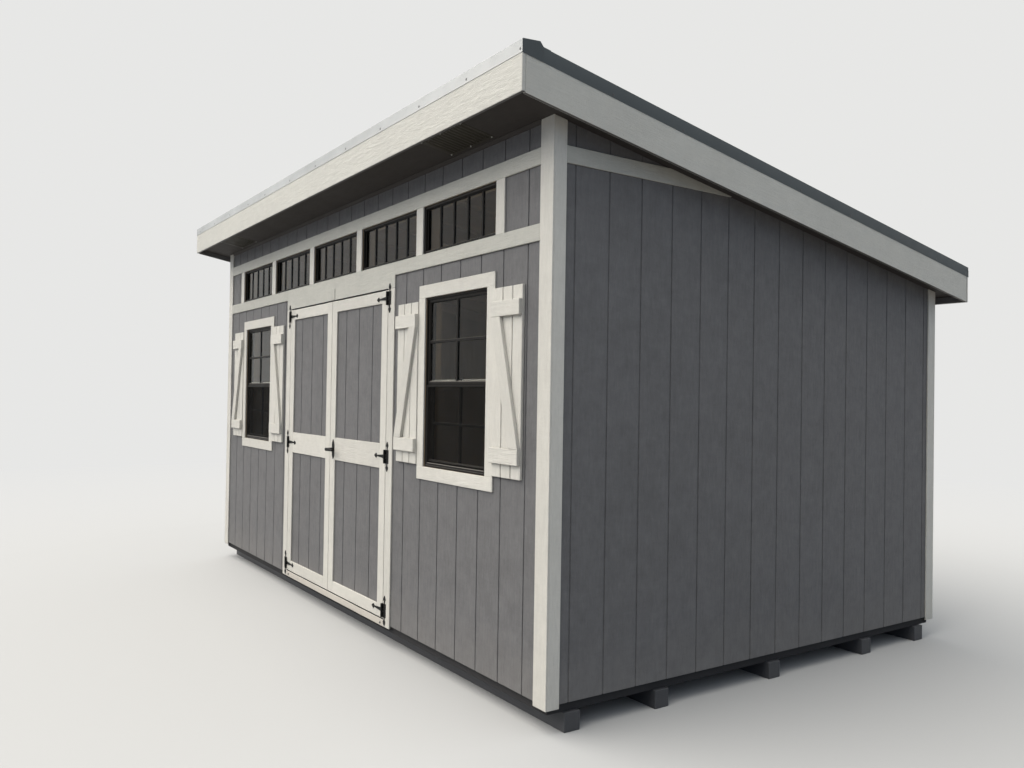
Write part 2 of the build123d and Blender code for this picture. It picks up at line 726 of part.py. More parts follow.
# Ribbed metal roofing, its ribs running down the slope
rib_count = 2 * int((rake_x - rib_foot) / rib_pitch) + 1
low_edge = Plane(origin=(0, eave_back_y, roof_z(eave_back_y, roof_board_top)), x_dir=(1, 0, 0),
                 z_dir=(0, -1 / slant, roof_slope / slant))
with BuildPart() as roof_panels:
    with BuildSketch(low_edge) as panel_section:
        with BuildLine():
            upper = [(-rake_x, sheet_t)]
            for i in range(rib_count):
                rib_x = (i - (rib_count - 1) / 2) * rib_pitch
                upper += [(rib_x - rib_foot / 2, sheet_t), (rib_x - rib_crown / 2, rib_h),
                          (rib_x + rib_crown / 2, rib_h), (rib_x + rib_foot / 2, sheet_t)]
            upper += [(rake_x, sheet_t)]
            lower = [(x, z - sheet_t) for x, z in reversed(upper)]
            Polyline(*upper, *lower, close=True)
        make_face()
    extrude(amount=(eave_back_y - eave_front_y) * slant)

# Metal edge trims: a flashing over the high edge, a drip edge at the low one
with BuildPart() as eave_trims:
    trim_x = (-rake_x - metal_t, rake_x + metal_t)
    flashing_front_y = eave_front_y - metal_t
    flashing_back_y = eave_front_y + flashing_lap
    across([(flashing_front_y, roof_z(flashing_front_y, flashing_top) - metal_face * slant),
            (eave_front_y, roof_z(eave_front_y, flashing_top) - metal_face * slant),
            (eave_front_y, roof_z(eave_front_y, rake_top)),
            (flashing_back_y, roof_z(flashing_back_y, rake_top)),
            (flashing_back_y, roof_z(flashing_back_y, flashing_top)),
            (flashing_front_y, roof_z(flashing_front_y, flashing_top))], trim_x)
    across(roof_layer((eave_back_y, eave_back_y + metal_t), drip_bottom, roof_board_top), trim_x)

# Rake trims: an upright leg over the fascia and a leg over the outermost rib
with BuildPart() as rake_trims:
    for side in (-1, 1):
        trim_run = (eave_front_y, eave_back_y)
        across(roof_layer(trim_run, rake_top - metal_face, rake_top),
               span(side * rake_x, side * (rake_x + metal_t)))
        across(roof_layer(trim_run, rib_top, rake_top), span(side * (rake_x - rake_lap), side * rake_x))

# Write the sub-parts
pieces = {
    "skids": skids,
    "floor_long_rims": floor_long_rims,
    "floor_end_rims": floor_end_rims,
    "floor_joists": floor_joists,
    "floor_deck": floor_deck,
    "front_wall_left": front_wall_left,
    "front_wall_right": front_wall_right,
    "front_wall_top": front_wall_top,
    "back_wall": back_wall,
    "left_wall": left_wall,
    "right_wall": right_wall,
    "front_back_corner_boards": front_back_corner_boards,
    "side_corner_boards": side_corner_boards,
    "upper_band": upper_band,
    "lower_band": lower_band,
    "door_head_board": door_head_board,
    "door_jamb_boards": door_jamb_boards,
    "door_threshold": door_threshold,
    "transom_boards": transom_boards,
    "transom_frames": transom_frames,
    "transom_glass": transom_glass,
    "window_frames": window_frames,
    "window_sashes": window_sashes,
    "window_glass": window_glass,
    "window_head_sill_boards": window_head_sill_boards,
    "window_side_boards": window_side_boards,
    "left_window_shutters": left_window_shutters,
    "right_window_shutters": right_window_shutters,
    "left_door_leaf": left_door_leaf,
    "left_door_boards": left_door_boards,
    "right_door_leaf": right_door_leaf,
    "right_door_boards": right_door_boards,
    "hinge_jamb_plates": hinge_jamb_plates,
    "left_hinge_straps": left_hinge_straps,
    "right_hinge_straps": right_hinge_straps,
    "handle_plate": handle_plate,
    "handle_lever": handle_lever,
    "eave_soffits": eave_soffits,
    "rake_soffits": rake_soffits,
    "soffit_vents": soffit_vents,
    "rafters": rafters,
    "eave_fascias": eave_fascias,
    "rake_fascias": rake_fascias,
    "roof_boards": roof_boards,
    "roof_panels": roof_panels,
    "eave_trims": eave_trims,
    "rake_trims": rake_trims,
}

os.makedirs("parts", exist_ok=True)
for name, piece in pieces.items():
    piece.part.label = name
    export_step(piece.part, f"parts/{name}.step")
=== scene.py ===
# %% [markdown]
# # A garden studio shed
# The real thing is a timber building on skids: grooved panel siding, pale trim boards, double doors,
# shuttered windows, a row of transom lights and a ribbed metal roof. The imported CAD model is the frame, so
# every piece below takes its place from a CAD node, in metres: +X runs right along the front, +Y to the back
# and +Z up.

# %% The frame
import json
from math import cos, pi, radians, sin, sqrt

import bmesh
import bpy
import numpy as np
from mathutils import Matrix, Vector


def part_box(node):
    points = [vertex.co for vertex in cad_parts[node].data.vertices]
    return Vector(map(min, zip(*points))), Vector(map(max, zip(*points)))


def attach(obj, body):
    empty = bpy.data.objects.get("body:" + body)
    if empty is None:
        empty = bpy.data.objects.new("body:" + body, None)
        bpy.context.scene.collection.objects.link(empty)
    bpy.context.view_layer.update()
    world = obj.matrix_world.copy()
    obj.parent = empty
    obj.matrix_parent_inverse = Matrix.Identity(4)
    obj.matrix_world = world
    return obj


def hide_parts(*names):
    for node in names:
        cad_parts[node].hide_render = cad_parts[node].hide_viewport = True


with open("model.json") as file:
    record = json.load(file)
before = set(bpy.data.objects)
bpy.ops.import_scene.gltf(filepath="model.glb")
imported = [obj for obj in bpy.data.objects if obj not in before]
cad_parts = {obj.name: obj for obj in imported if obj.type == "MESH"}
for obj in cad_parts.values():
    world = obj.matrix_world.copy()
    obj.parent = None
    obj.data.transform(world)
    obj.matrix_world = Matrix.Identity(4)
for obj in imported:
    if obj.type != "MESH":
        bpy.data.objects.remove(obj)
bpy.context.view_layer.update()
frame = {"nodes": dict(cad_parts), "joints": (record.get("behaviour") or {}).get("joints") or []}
MM = 0.001
rng = np.random.default_rng(7)

# %% [markdown]
# The photograph was taken from the right of the front corner, at shoulder height. A fit of the siding
# grooves and the corners gave the lens and the place, so the camera is set from those numbers. Its axes are
# built as three arrows, because a small roll is easier to see there than in angles.

# %% The camera
CAMERA_PLACE = np.array([5.5073, -3.8123, 1.5065])
YAW, PITCH, ROLL = -0.9735, 0.0138, -0.0158
LENS_MM, SENSOR_MM = 30.04, 36.0


def placed(name, data):
    """A new object in the scene, at the origin."""
    thing = bpy.data.objects.new(name, data)
    bpy.context.scene.collection.objects.link(thing)
    return thing


def camera_axes():
    """Forward comes from yaw and pitch; right and down are square to it, turned about it by the roll."""
    forward = np.array([sin(YAW) * cos(PITCH), cos(YAW) * cos(PITCH), sin(PITCH)])
    right = np.cross(forward, (0.0, 0.0, 1.0))
    right /= np.linalg.norm(right)
    down = np.cross(forward, right)
    return cos(ROLL) * right + sin(ROLL) * down, sin(ROLL) * right - cos(ROLL) * down, -forward


camera = placed("photo_camera", bpy.data.cameras.new("photo_camera"))
camera.data.lens, camera.data.sensor_width = LENS_MM, SENSOR_MM
stance = np.eye(4)
stance[:3] = np.column_stack([*camera_axes(), CAMERA_PLACE])
camera.matrix_world = Matrix(stance.tolist())
bpy.context.scene.camera = camera
print("camera at", CAMERA_PLACE, "lens", LENS_MM)

# %% [markdown]
# Every shape is an array of points and an array of faces. `frame_points` and `solids` read the CAD model, so
# that a new board lies exactly where its CAD solid is. The solids of one node are told apart by spreading
# the lowest label along the triangles until no label changes.

# %% Reading the CAD nodes
SAME = 1e-5                 # two measures nearer than this are one


def frame_points(node):
    """The corners of a CAD node as rows of x, y, z, with the rounding noise taken off."""
    mesh = frame["nodes"][node].data
    flat = np.empty(3 * len(mesh.vertices), np.float32)
    mesh.vertices.foreach_get("co", flat)
    return np.round(flat.reshape(-1, 3).astype(float), 5)


def solids(node):
    """The corners of each separate solid of a node, in rising order of x, then y."""
    mesh = frame["nodes"][node].data
    corners, same = np.unique(frame_points(node), axis=0, return_inverse=True)
    triangles = np.empty(len(mesh.loops), np.int32)
    mesh.loops.foreach_get("vertex_index", triangles)
    triangles = same.ravel()[triangles].reshape(-1, 3)
    label = np.arange(len(corners))
    while True:
        spread = label.copy()
        np.minimum.at(spread, triangles, label[triangles].min(axis=1)[:, None])
        if (spread == label).all():
            return [corners[label == k] for k in np.unique(label)]
        label = spread


def extent(points):
    """The low and the high corner of the box round some points."""
    return points.min(axis=0), points.max(axis=0)


def box_points(low, high):
    """The eight corners of a box from two opposite ones, or of many boxes at once."""
    low, high = (np.asarray(corner, float)[..., None, :] for corner in (low, high))
    return np.where(np.indices((2, 2, 2)).reshape(3, -1).T == 1, high, low)


def slope_line(points, high=True):
    """Height along y of a solid's top or bottom edge: a straight line through its two ends."""
    pick = np.max if high else np.min
    y0, y1 = points[:, 1].min(), points[:, 1].max()
    z0, z1 = (pick(points[np.abs(points[:, 1] - y) < SAME, 2]) for y in (y0, y1))
    return lambda y: z0 + (z1 - z0) * (y - y0) / (y1 - y0)


seat = slope_line(frame_points("rafters"), high=False)
soffit_under = slope_line(frame_points("rake_soffits"), high=False)
roof_top = slope_line(frame_points("roof_boards"))
print("roof seat at the front face", round(float(seat(-1.548)), 4))

# %% [markdown]
# A mesh part is a small dictionary: points, faces, which way its grain runs and its lot, a number that makes
# boards differ a little, as boards from different packs do. Parts are joined in one mesh. Points that fall
# together are merged and the normals are worked out again, because every part is a closed shell.

# %% Making meshes
MERGE = 2e-6


def grain_of(points, along, across, through):
    """Wood coordinates: distance along the grain, across it and into the wood, shifted at random."""
    return points[..., [along, across, through]] + rng.uniform(-5, 5, 3)


def part_of(points, faces, grain=None, paints=None, lot=None):
    """A part: points, a list of face arrays, wood coordinates, each array's material number, and a lot."""
    points = np.asarray(points, float).reshape(-1, 3)
    return {"points": points, "faces": faces, "grain": points if grain is None else grain.reshape(-1, 3),
            "paints": paints or [0] * len(faces), "lot": rng.uniform(0, 1) if lot is None else lot}


def closed_up(mesh):
    """Merges points that fall together, and works the normals out again."""
    work = bmesh.new()
    work.from_mesh(mesh)
    bmesh.ops.remove_doubles(work, verts=work.verts, dist=MERGE)
    bmesh.ops.dissolve_degenerate(work, edges=work.edges, dist=MERGE)
    bmesh.ops.recalc_face_normals(work, faces=work.faces)
    work.to_mesh(mesh)
    work.free()


def make_piece(name, parts, body, materials, stands_for=(), smooth=None):
    """Joins parts in one mesh at the origin, attaches it to the body it rides on, and hides the nodes it
    stands for.
    """
    starts = np.cumsum([0] + [len(p["points"]) for p in parts])
    faces = [f for p, s in zip(parts, starts) for block in p["faces"] for f in (block + s).tolist()]
    paint = [m for p in parts for block, m in zip(p["faces"], p["paints"]) for _ in range(len(block))]
    mesh = bpy.data.meshes.new(name)
    mesh.from_pydata(np.concatenate([p["points"] for p in parts]).tolist(), [], faces)
    mesh.polygons.foreach_set("material_index", np.array(paint, np.int32))
    grains, lots = [p["grain"] for p in parts], [np.full(len(p["points"]), p["lot"]) for p in parts]
    for label, kind, key, rows in (("grain", "FLOAT_VECTOR", "vector", grains),
                                   ("lot", "FLOAT", "value", lots)):
        carrier = mesh.attributes.new(label, kind, "POINT")
        carrier.data.foreach_set(key, np.concatenate(rows).astype(np.float32).ravel())
    closed_up(mesh)
    if smooth:
        mesh.shade_smooth()
        mesh.set_sharp_from_angle(angle=radians(smooth))
    for material in materials:
        mesh.materials.append(material)
    piece = placed(name, mesh)
    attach(piece, body)
    if stands_for:
        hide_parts(*stands_for)
    print(f"{name}: {len(parts)} parts, {len(mesh.polygons)} faces")


# %% [markdown]
# Two ways of making a skin cover nearly every piece. `carried` takes a closed outline at several stations
# and stretches a skin over them, with a lid at each end; `strip` does it with one section along x. `turned`
# spins a short profile round an axis, as a lathe does. All work on the whole grid of points at once.

# %% Skins from outlines
STEEP = 0.9                 # an axis whose z is over this counts as upright


def ring_faces(stations, around):
    """Quads between neighbouring outlines, and one many-sided lid at each end."""
    index = np.arange(stations * around).reshape(stations, around)
    beside = np.roll(index, -1, axis=1)
    quads = np.stack([index[:-1], beside[:-1], beside[1:], index[1:]], -1).reshape(-1, 4)
    return [quads, index[:1, ::-1], index[-1:]]


def carried(outlines):
    """A skin over outlines given as an array (stations, points round, 3)."""
    outlines = np.asarray(outlines, float)
    return part_of(outlines, ring_faces(*outlines.shape[:2]))


def strip(section, xs):
    """A section of (y, z) pairs carried straight from the first x to the last."""
    return carried([np.column_stack([np.full(len(section), x), section]) for x in xs])


def turned(profile, foot, axis, sides=8):
    """A profile of (radius, height) pairs spun about an axis through the foot, closed at both ends."""
    axis = np.asarray(axis, float) / np.linalg.norm(axis)
    sideways = np.cross(axis, (0.0, 0.0, 1.0) if abs(axis[2]) < STEEP else (1.0, 0.0, 0.0))
    sideways /= np.linalg.norm(sideways)
    angle = np.arange(sides)[:, None] * 2 * pi / sides
    spoke = np.cos(angle) * sideways + np.sin(angle) * np.cross(axis, sideways)
    radius, height = np.asarray(profile, float).T[:, :, None, None]
    return carried(np.asarray(foot, float) + height * axis + radius * spoke)


# %% [markdown]
# Trim boards on the real shed are engineered wood with a wood grain pressed in and slightly rounded edges. A
# plain box would lose the thin bright line along each edge, so each board is a bevelled rectangle carried
# along its length. Its ends may follow the roof, which moves every point between a bottom and a top line.

# %% Boards
EASE = 1.6 * MM


def board(points, ease=EASE, cuts=(), top=None, bottom=None, length_axis=None, shaded=()):
    """A bevelled rectangle carried along the longest side of a solid's box. Its heights run between two
    lines. Its long faces are numbered round from 0, the underside, with 2 and 6 the far and near sides, 4 the
    top and the eased edges between them; 8 and 9 are the ends. Those in `shaded` take the second paint, a
    darker one that paints in the shade those faces lie in."""
    low, high = extent(points)
    size = high - low
    along = int(np.argmax(size)) if length_axis is None else length_axis
    through, across = sorted([i for i in range(3) if i != along], key=lambda i: size[i])
    ease = min(ease, 0.2 * size[through])
    stations = np.array([0, ease, *cuts, size[along] - ease, size[along]])
    drawn_in = np.where((stations > 0) & (stations < size[along]), 0.0, ease)[:, None]
    t, w = size[through], size[across]
    outline = np.array([[ease, 0], [t - ease, 0], [t, ease], [t, w - ease],
                        [t - ease, w], [ease, w], [0, w - ease], [0, ease]])
    spots = np.empty((len(stations), 8, 3))
    spots[..., along] = low[along] + stations[:, None]
    spots[..., through] = low[through] + np.clip(outline[:, 0], drawn_in, t - drawn_in)
    spots[..., across] = low[across] + np.clip(outline[:, 1], drawn_in, w - drawn_in)
    grain = grain_of(spots, along, across, through)
    top, bottom = top or slope_line(points), bottom or slope_line(points, high=False)
    share = (spots[..., 2] - low[2]) / size[2]
    y = spots[..., 1]
    spots[..., 2] = bottom(y) + share * (top(y) - bottom(y))
    sides, *lids = ring_faces(*spots.shape[:2])
    sides = sides.reshape(-1, 8, 4).transpose(1, 0, 2)
    return part_of(spots, [*sides, *lids], grain, [int(k in shaded) for k in range(10)])


def plank(low, high, **options):
    """A board that fills the box between two corners."""
    return board(box_points(low, high), **options)


def boards_of(node, **options):
    """One board for each solid of a node."""
    return [board(points, **options) for points in solids(node)]


# %% [markdown]
# Looks come next, so that every piece can be given its finish as it is made. `add` puts a node in a tree and
# `feed` fills its inputs. A `Value` is a socket that takes +, - and *, each of which makes a Math node, so
# that a formula reads as one. `effect` starts a shared group, which holds only colours, masks and heights.

# %% Node helpers
def feed(tree, sockets, values):
    """Links each value that is a socket or a Value, and sets the others."""
    for key, value in values.items():
        value = getattr(value, "socket", value)
        if isinstance(value, bpy.types.NodeSocket):
            tree.links.new(value, sockets[key])
        else:
            sockets[key].default_value = value


def add(tree, kind, inputs=None, **settings):
    """Adds a node, sets what it does and feeds it."""
    node = tree.nodes.new(kind)
    for key, value in settings.items():
        setattr(node, key, value)
    feed(tree, node.inputs, inputs or {})
    return node


class Value:
    """A socket in a tree, for use in formulas."""

    def __init__(self, tree, socket):
        self.tree, self.socket = tree, socket

    def math(self, how, *others, clamp=False):
        """A Math node with this value first; the others are numbers, sockets or Values."""
        values = dict(enumerate((self, *others)))
        node = add(self.tree, "ShaderNodeMath", values, operation=how, use_clamp=clamp)
        return Value(self.tree, node.outputs[0])

    def __add__(self, other):
        return self.math("ADD", other)

    def __mul__(self, other):
        return self.math("MULTIPLY", other)

    def __sub__(self, other):
        return self.math("SUBTRACT", other)

    def __radd__(self, other):
        return self.math("ADD", other)

    def __rsub__(self, other):
        return self.math("MULTIPLY_ADD", -1.0, other)

    def spread(self, low, high, to_low=0.0, to_high=1.0):
        """Stretches low..high to a new range, held at both ends."""
        node = add(self.tree, "ShaderNodeMapRange", {"Value": self, "From Min": low, "From Max": high,
                                                     "To Min": to_low, "To Max": to_high})
        return Value(self.tree, node.outputs["Result"])


def scaled(tree, vector, scale):
    """The vector with each of its three parts multiplied."""
    return add(tree, "ShaderNodeVectorMath", {0: vector, 1: scale}, operation="MULTIPLY").outputs[0]


def height_of(tree, vector):
    """The Z of a vector."""
    return Value(tree, add(tree, "ShaderNodeSeparateXYZ", {0: vector}).outputs["Z"])


def object_place(tree):
    """Object coordinates, which are metres in the shed's own frame."""
    return add(tree, "ShaderNodeTexCoord").outputs["Object"]


def cloud(tree, vector, scale, detail=2.0, rough=0.5, distort=0.0):
    """Soft noise between about 0.3 and 0.7."""
    node = add(tree, "ShaderNodeTexNoise", {"Vector": vector, "Scale": scale, "Detail": detail,
                                            "Roughness": rough, "Distortion": distort})
    return Value(tree, node.outputs["Fac"])


def blend(tree, fac, a, b, how="MIX"):
    """Colour a mixed with colour b."""
    return add(tree, "ShaderNodeMix", {0: fac, 6: a, 7: b}, data_type="RGBA", blend_type=how).outputs[2]


def bumped(tree, height, strength, distance):
    """A normal tilted by a height."""
    inputs = {"Height": height, "Strength": strength, "Distance": distance}
    return add(tree, "ShaderNodeBump", inputs).outputs[0]


def effect(name, inputs, outputs):
    """A shader node group. Each socket has a name and a start: one number, three, or a colour's four."""
    tree = bpy.data.node_groups.new(name, "ShaderNodeTree")
    for way, sockets in (("INPUT", inputs), ("OUTPUT", outputs)):
        for label, start in sockets.items():
            kind = "NodeSocket" + {1: "Float", 3: "Vector", 4: "Color"}[np.size(start)]
            tree.interface.new_socket(label, in_out=way, socket_type=kind).default_value = start
    given = tree.nodes.new("NodeGroupInput").outputs
    return tree, {s.name: Value(tree, s) for s in given}, tree.nodes.new("NodeGroupOutput").inputs


def use(tree, group, inputs=None):
    """Places a shared group in a material, and returns its outputs by name."""
    node = add(tree, "ShaderNodeGroup", node_tree=group)
    feed(tree, node.inputs, inputs or {})
    return {s.name: Value(tree, s) for s in node.outputs}


# %% [markdown]
# Pressed cedar grain: long wavy ridges a few millimetres apart, broken up by broader lumps, with the faint
# marks of a saw across them. Noise stretched along the wood's length gives the first two, and noise
# stretched across it gives the third. The group puts out a height for the bump and a streak for the colour.

# %% The pressed grain
pressed_grain, given, result = effect("pressed_grain", {"Wood": (0, 0, 0), "Coarseness": 1.0},
                                      {"Height": 0.0, "Streak": 0.0})


def stretched(scale, detail, rough, distort):
    """Noise with its own scale along the wood, across it and into it."""
    return cloud(pressed_grain, scaled(pressed_grain, given["Wood"], scale), 1.0, detail, rough, distort)


lumps = stretched((9.0, 55.0, 40.0), 3.0, 0.55, 0.4).spread(0.3, 0.7)
ridge = stretched((26.0, 330.0, 200.0), 2.0, 0.6, 0.5).spread(0.36, 0.62)
sawn = stretched((95.0, 11.0, 11.0), 2.0, 0.5, 0.3).spread(0.36, 0.64)
feed(pressed_grain, result, {"Height": lumps * given["Coarseness"] + ridge * 0.6 + sawn * 0.25,
                             "Streak": lumps * 0.47 + ridge * 0.4 + sawn * 0.13})

# %% [markdown]
# Paint is never one even tone: the roller leaves faint clouds and a mottle of hand-sized patches, boards
# from different packs differ, and dust settles on the lowest hand's breadth. Three small groups hold these,
# so that each paint can mix them in its own strength.

# %% Tone, dust and rubbed edges
tone, given, result = effect(
    "paint_tone", {"Colour": (0.5, 0.5, 0.5, 1), "Place": (0, 0, 0), "Lot": 0.5, "Clouds": 0.05, "Lots": 0.05,
                   "Mottle": 0.1}, {"Colour": (0, 0, 0, 1), "Cloud": 0.0})
drift = cloud(tone, given["Place"], 2.1, 3.0, 0.6)
patches = cloud(tone, given["Place"], 14.0, 4.0, 0.65)
factor = (1.0 + (patches - 0.5) * given["Mottle"] + (drift - 0.5) * given["Clouds"] * 4.0
          + (given["Lot"] - 0.5) * given["Lots"] * 2.0)
grey = add(tone, "ShaderNodeCombineColor", {"Red": factor, "Green": factor, "Blue": factor}).outputs[0]
feed(tone, result, {"Colour": blend(tone, 1.0, given["Colour"], grey, "MULTIPLY"), "Cloud": drift})

yard_dust, given, result = effect("yard_dust", {"Place": (0, 0, 0), "Top": 0.35, "Amount": 0.4},
                                  {"Mask": 0.0})
uneven = cloud(yard_dust, given["Place"], 5.0, 4.0, 0.65) - 0.5
share = (height_of(yard_dust, given["Place"]) + uneven * 0.35).math("DIVIDE", given["Top"])
feed(yard_dust, result, {"Mask": share.math("MULTIPLY_ADD", -1.0, 1.0, clamp=True) * given["Amount"]})

rubbed, given, result = effect("rubbed_edges", {}, {"Mask": 0.0})
pointy = Value(rubbed, add(rubbed, "ShaderNodeNewGeometry").outputs["Pointiness"])
feed(rubbed, result, {"Mask": pointy.spread(0.52, 0.62)})
print("effects:", [g.name for g in bpy.data.node_groups])

# %% [markdown]
# The paints. Siding and trim share one recipe: the pressed grain, the tone and the dust, with their own
# colour and sheen. New pieces carry the wood's direction in their `grain` attribute; CAD nodes have none, so
# there the recipe turns Object coordinates instead.

# %% Painted wood
DUST = (0.42, 0.38, 0.32, 1)


def new_material(name):
    """An empty material with its Principled shader."""
    material = bpy.data.materials.new(name)
    material.use_nodes = True
    tree = material.node_tree
    tree.nodes.clear()
    shader = add(tree, "ShaderNodeBsdfPrincipled")
    add(tree, "ShaderNodeOutputMaterial", {"Surface": shader.outputs[0]})
    return material, tree, shader


def wood_place(tree, along=None):
    """The wood coordinates: the piece's own attribute, or Object coordinates with the grain along an axis."""
    if along is None:
        return add(tree, "ShaderNodeAttribute", attribute_name="grain").outputs["Vector"]
    place = add(tree, "ShaderNodeSeparateXYZ", {0: object_place(tree)}).outputs
    order = {"x": (0, 2, 1), "y": (1, 0, 2)}[along]
    return add(tree, "ShaderNodeCombineXYZ", {i: place[k] for i, k in enumerate(order)}).outputs[0]


def paint(name, colour, rough=0.55, press=1.0, coarse=1.0, clouds=0.05, mottle=0.15, dust=0.0, streak=0.08,
          gloss=0.3, along=None):
    """Satin paint over pressed grain."""
    material, tree, shader = new_material(name)
    here, wood = object_place(tree), wood_place(tree, along)
    lot = add(tree, "ShaderNodeAttribute", attribute_name="lot").outputs["Fac"] if along is None else 0.5
    grain = use(tree, pressed_grain, {"Wood": wood, "Coarseness": coarse})
    toned = use(tree, tone, {"Colour": (*colour, 1), "Place": here, "Lot": lot, "Clouds": clouds,
                             "Mottle": mottle})
    dusty = use(tree, yard_dust, {"Place": here, "Top": 0.4, "Amount": dust})["Mask"]
    darker = (*[c * 0.35 for c in colour], 1)
    streaked = blend(tree, (1.0 - grain["Streak"]) * streak, toned["Colour"], darker)
    feed(tree, shader.inputs, {
        "Base Color": blend(tree, dusty, streaked, DUST),
        "Roughness": (toned["Cloud"] - 0.5) * 0.3 + rough + grain["Streak"] * -0.08,
        "Normal": bumped(tree, grain["Height"], press, 0.85 * MM),
        "Specular IOR Level": gloss})
    return material


siding_paint = paint("siding_paint", (0.139, 0.136, 0.136), rough=0.6, coarse=1.3, streak=0.26, gloss=0.2,
                     dust=0.12, clouds=0.07, mottle=0.5)
trim_paint = paint("trim_paint", (0.578, 0.555, 0.498), coarse=1.4, dust=0.15, streak=0.19)
# A darker copy of the trim paint for the bands, the head board and the keeper high under the eave: painted
# shade.
band_shade_paint = paint("band_shade_paint", (0.452, 0.442, 0.392), coarse=1.4, streak=0.2)
threshold_paint = paint("threshold_paint", (0.50, 0.462, 0.405), rough=0.6, coarse=1.4, dust=0.3, streak=0.14)
fascia_paint = paint("fascia_paint", (0.550, 0.535, 0.480), press=0.9, coarse=1.3, streak=0.22)
# The soffits' dark grey is painted far darker, as the shade under the eave.
soffit_paint = paint("soffit_paint", (0.042, 0.037, 0.034), rough=0.7, press=0.4, gloss=0.15, along="x")
# The rims' dark slate is painted darker still, as the shade under the siding's edge; as a second paint it
# also paints shade into the gaps round the doors.
rim_paint = paint("rim_paint", (0.027, 0.027, 0.029), rough=0.8, press=0.5, dust=0.03, gloss=0.08, along="x")
print("paints:", [m.name for m in bpy.data.materials if m.name.endswith("paint")])

# %% [markdown]
# Bare timber shows inside: rafters, floor, joists and the sheet lining. Growth rings are a distorted wave
# across the board, far longer along it, with fine pores on top. Skids are the same wood, treated and
# weathered; their colour is made far darker and bluer, as painted shade under the floor.

# %% Bare timber
def timber(name, early, late, along=None, rings=28.0, contrast=0.4, dust=0.0):
    """Growth rings and long flames between two wood colours, with pores and a few darker patches."""
    material, tree, shader = new_material(name)
    here, wood = object_place(tree), wood_place(tree, along)
    ring = Value(tree, add(tree, "ShaderNodeTexWave", {
        "Vector": scaled(tree, wood, (0.3, 1.0, 1.0)), "Scale": rings, "Distortion": 2.5, "Detail": 3.0,
        "Detail Scale": 0.5}, bands_direction="Y").outputs["Fac"])
    flame = cloud(tree, scaled(tree, wood, (1.1, 16.0, 16.0)), 1.0, 5.0, 0.62, 0.6).spread(0.3, 0.7)
    grown = blend(tree, ring * contrast + flame * (0.8 - contrast), (*early, 1), (*late, 1))
    darker = cloud(tree, here, 1.7, 3.0, 0.6).spread(0.45, 0.75, 0.0, 0.35)
    patchy = blend(tree, darker, grown, (*[c * 0.6 for c in late], 1))
    dusty = use(tree, yard_dust, {"Place": here, "Top": 0.3, "Amount": dust})["Mask"]
    pores = cloud(tree, scaled(tree, wood, (30.0, 700.0, 700.0)), 1.0, 2.0, 0.6)
    feed(tree, shader.inputs, {"Base Color": blend(tree, dusty, patchy, DUST),
                               "Roughness": ring.spread(0, 1, 0.68, 0.56),
                               "Normal": bumped(tree, pores, 0.35, 0.4 * MM)})
    return material


lining = timber("sheet_lining", (0.50, 0.36, 0.21), (0.36, 0.24, 0.13), rings=7.0, contrast=0.12)
rafter_wood = timber("rafter_wood", (0.58, 0.42, 0.26), (0.40, 0.25, 0.13), along="y")
deck_wood = timber("deck_wood", (0.52, 0.38, 0.23), (0.35, 0.23, 0.12), along="x", rings=7.0, contrast=0.12,
                   dust=0.3)
# The skids' dark, bluish colours are painted shade.
skid_shade_wood = timber("skid_shade_wood", (0.032, 0.036, 0.044), (0.020, 0.022, 0.028), along="x", dust=0.05)
print("timbers:", [m.name for m in bpy.data.materials if "wood" in m.name or "lining" in m.name])

# %% [markdown]
# The metals: pre-painted slate steel on the roof and its edges, bronze vents and black hinges. The flashing
# along the high edge is that slate steel painted pale, a painted reflection of the light it faces. Painted
# metal is a smooth skin with a faint orange-peel ripple and small scuffs, so the recipe has a fine noise for
# the ripple and a broad one for the sheen.

# %% Painted metal, plastic and glass
def enamel(name, colour, rough=0.35, ripple=0.15, wear=0.0, metallic=0.0, gloss=0.5, clouds=0.06,
           top_highlight=0.0):
    """Smooth paint with a rippled sheen; rubbed edges are greyer, and up-facing faces get a painted
    highlight.
    """
    material, tree, shader = new_material(name)
    here = object_place(tree)
    toned = use(tree, tone, {"Colour": (*colour, 1), "Place": here, "Clouds": clouds, "Lots": 0.0})
    worn = blend(tree, use(tree, rubbed)["Mask"] * wear, toned["Colour"], (0.08, 0.08, 0.08, 1))
    facing = height_of(tree, add(tree, "ShaderNodeNewGeometry").outputs["Normal"])
    feed(tree, shader.inputs, {
        "Base Color": blend(tree, facing.spread(0.2, 0.8) * top_highlight, worn, (0.30, 0.28, 0.25, 1)),
        "Roughness": cloud(tree, here, 14.0, 4.0, 0.65).spread(0.3, 0.7, rough - 0.08, rough + 0.08),
        "Normal": bumped(tree, cloud(tree, here, 420.0, 1.0), ripple, 0.3 * MM),
        "Metallic": metallic, "Specular IOR Level": gloss})
    return material


roof_metal = enamel("roof_metal", (0.063, 0.073, 0.076), rough=0.5, gloss=0.22)
# The flashing's pale colour is a painted reflection on slate steel.
flashing_sheen_enamel = enamel("flashing_sheen_enamel", (0.345, 0.355, 0.35), rough=0.36, gloss=0.35, clouds=0.22)
vent_metal = enamel("vent_metal", (0.033, 0.029, 0.021), rough=0.5, gloss=0.2)
black_metal = enamel("black_metal", (0.005, 0.005, 0.005), rough=0.5, wear=0.2, gloss=0.12)
screw_metal = enamel("screw_metal", (0.42, 0.42, 0.40), rough=0.3, metallic=0.8)
dark_screw = enamel("dark_screw", (0.035, 0.038, 0.040))
# The vinyl's up-facing ledges are painted lighter: a painted highlight.
window_vinyl = enamel("window_vinyl", (0.010, 0.009, 0.008), rough=0.45, ripple=0.08, gloss=0.09,
                      top_highlight=0.45)
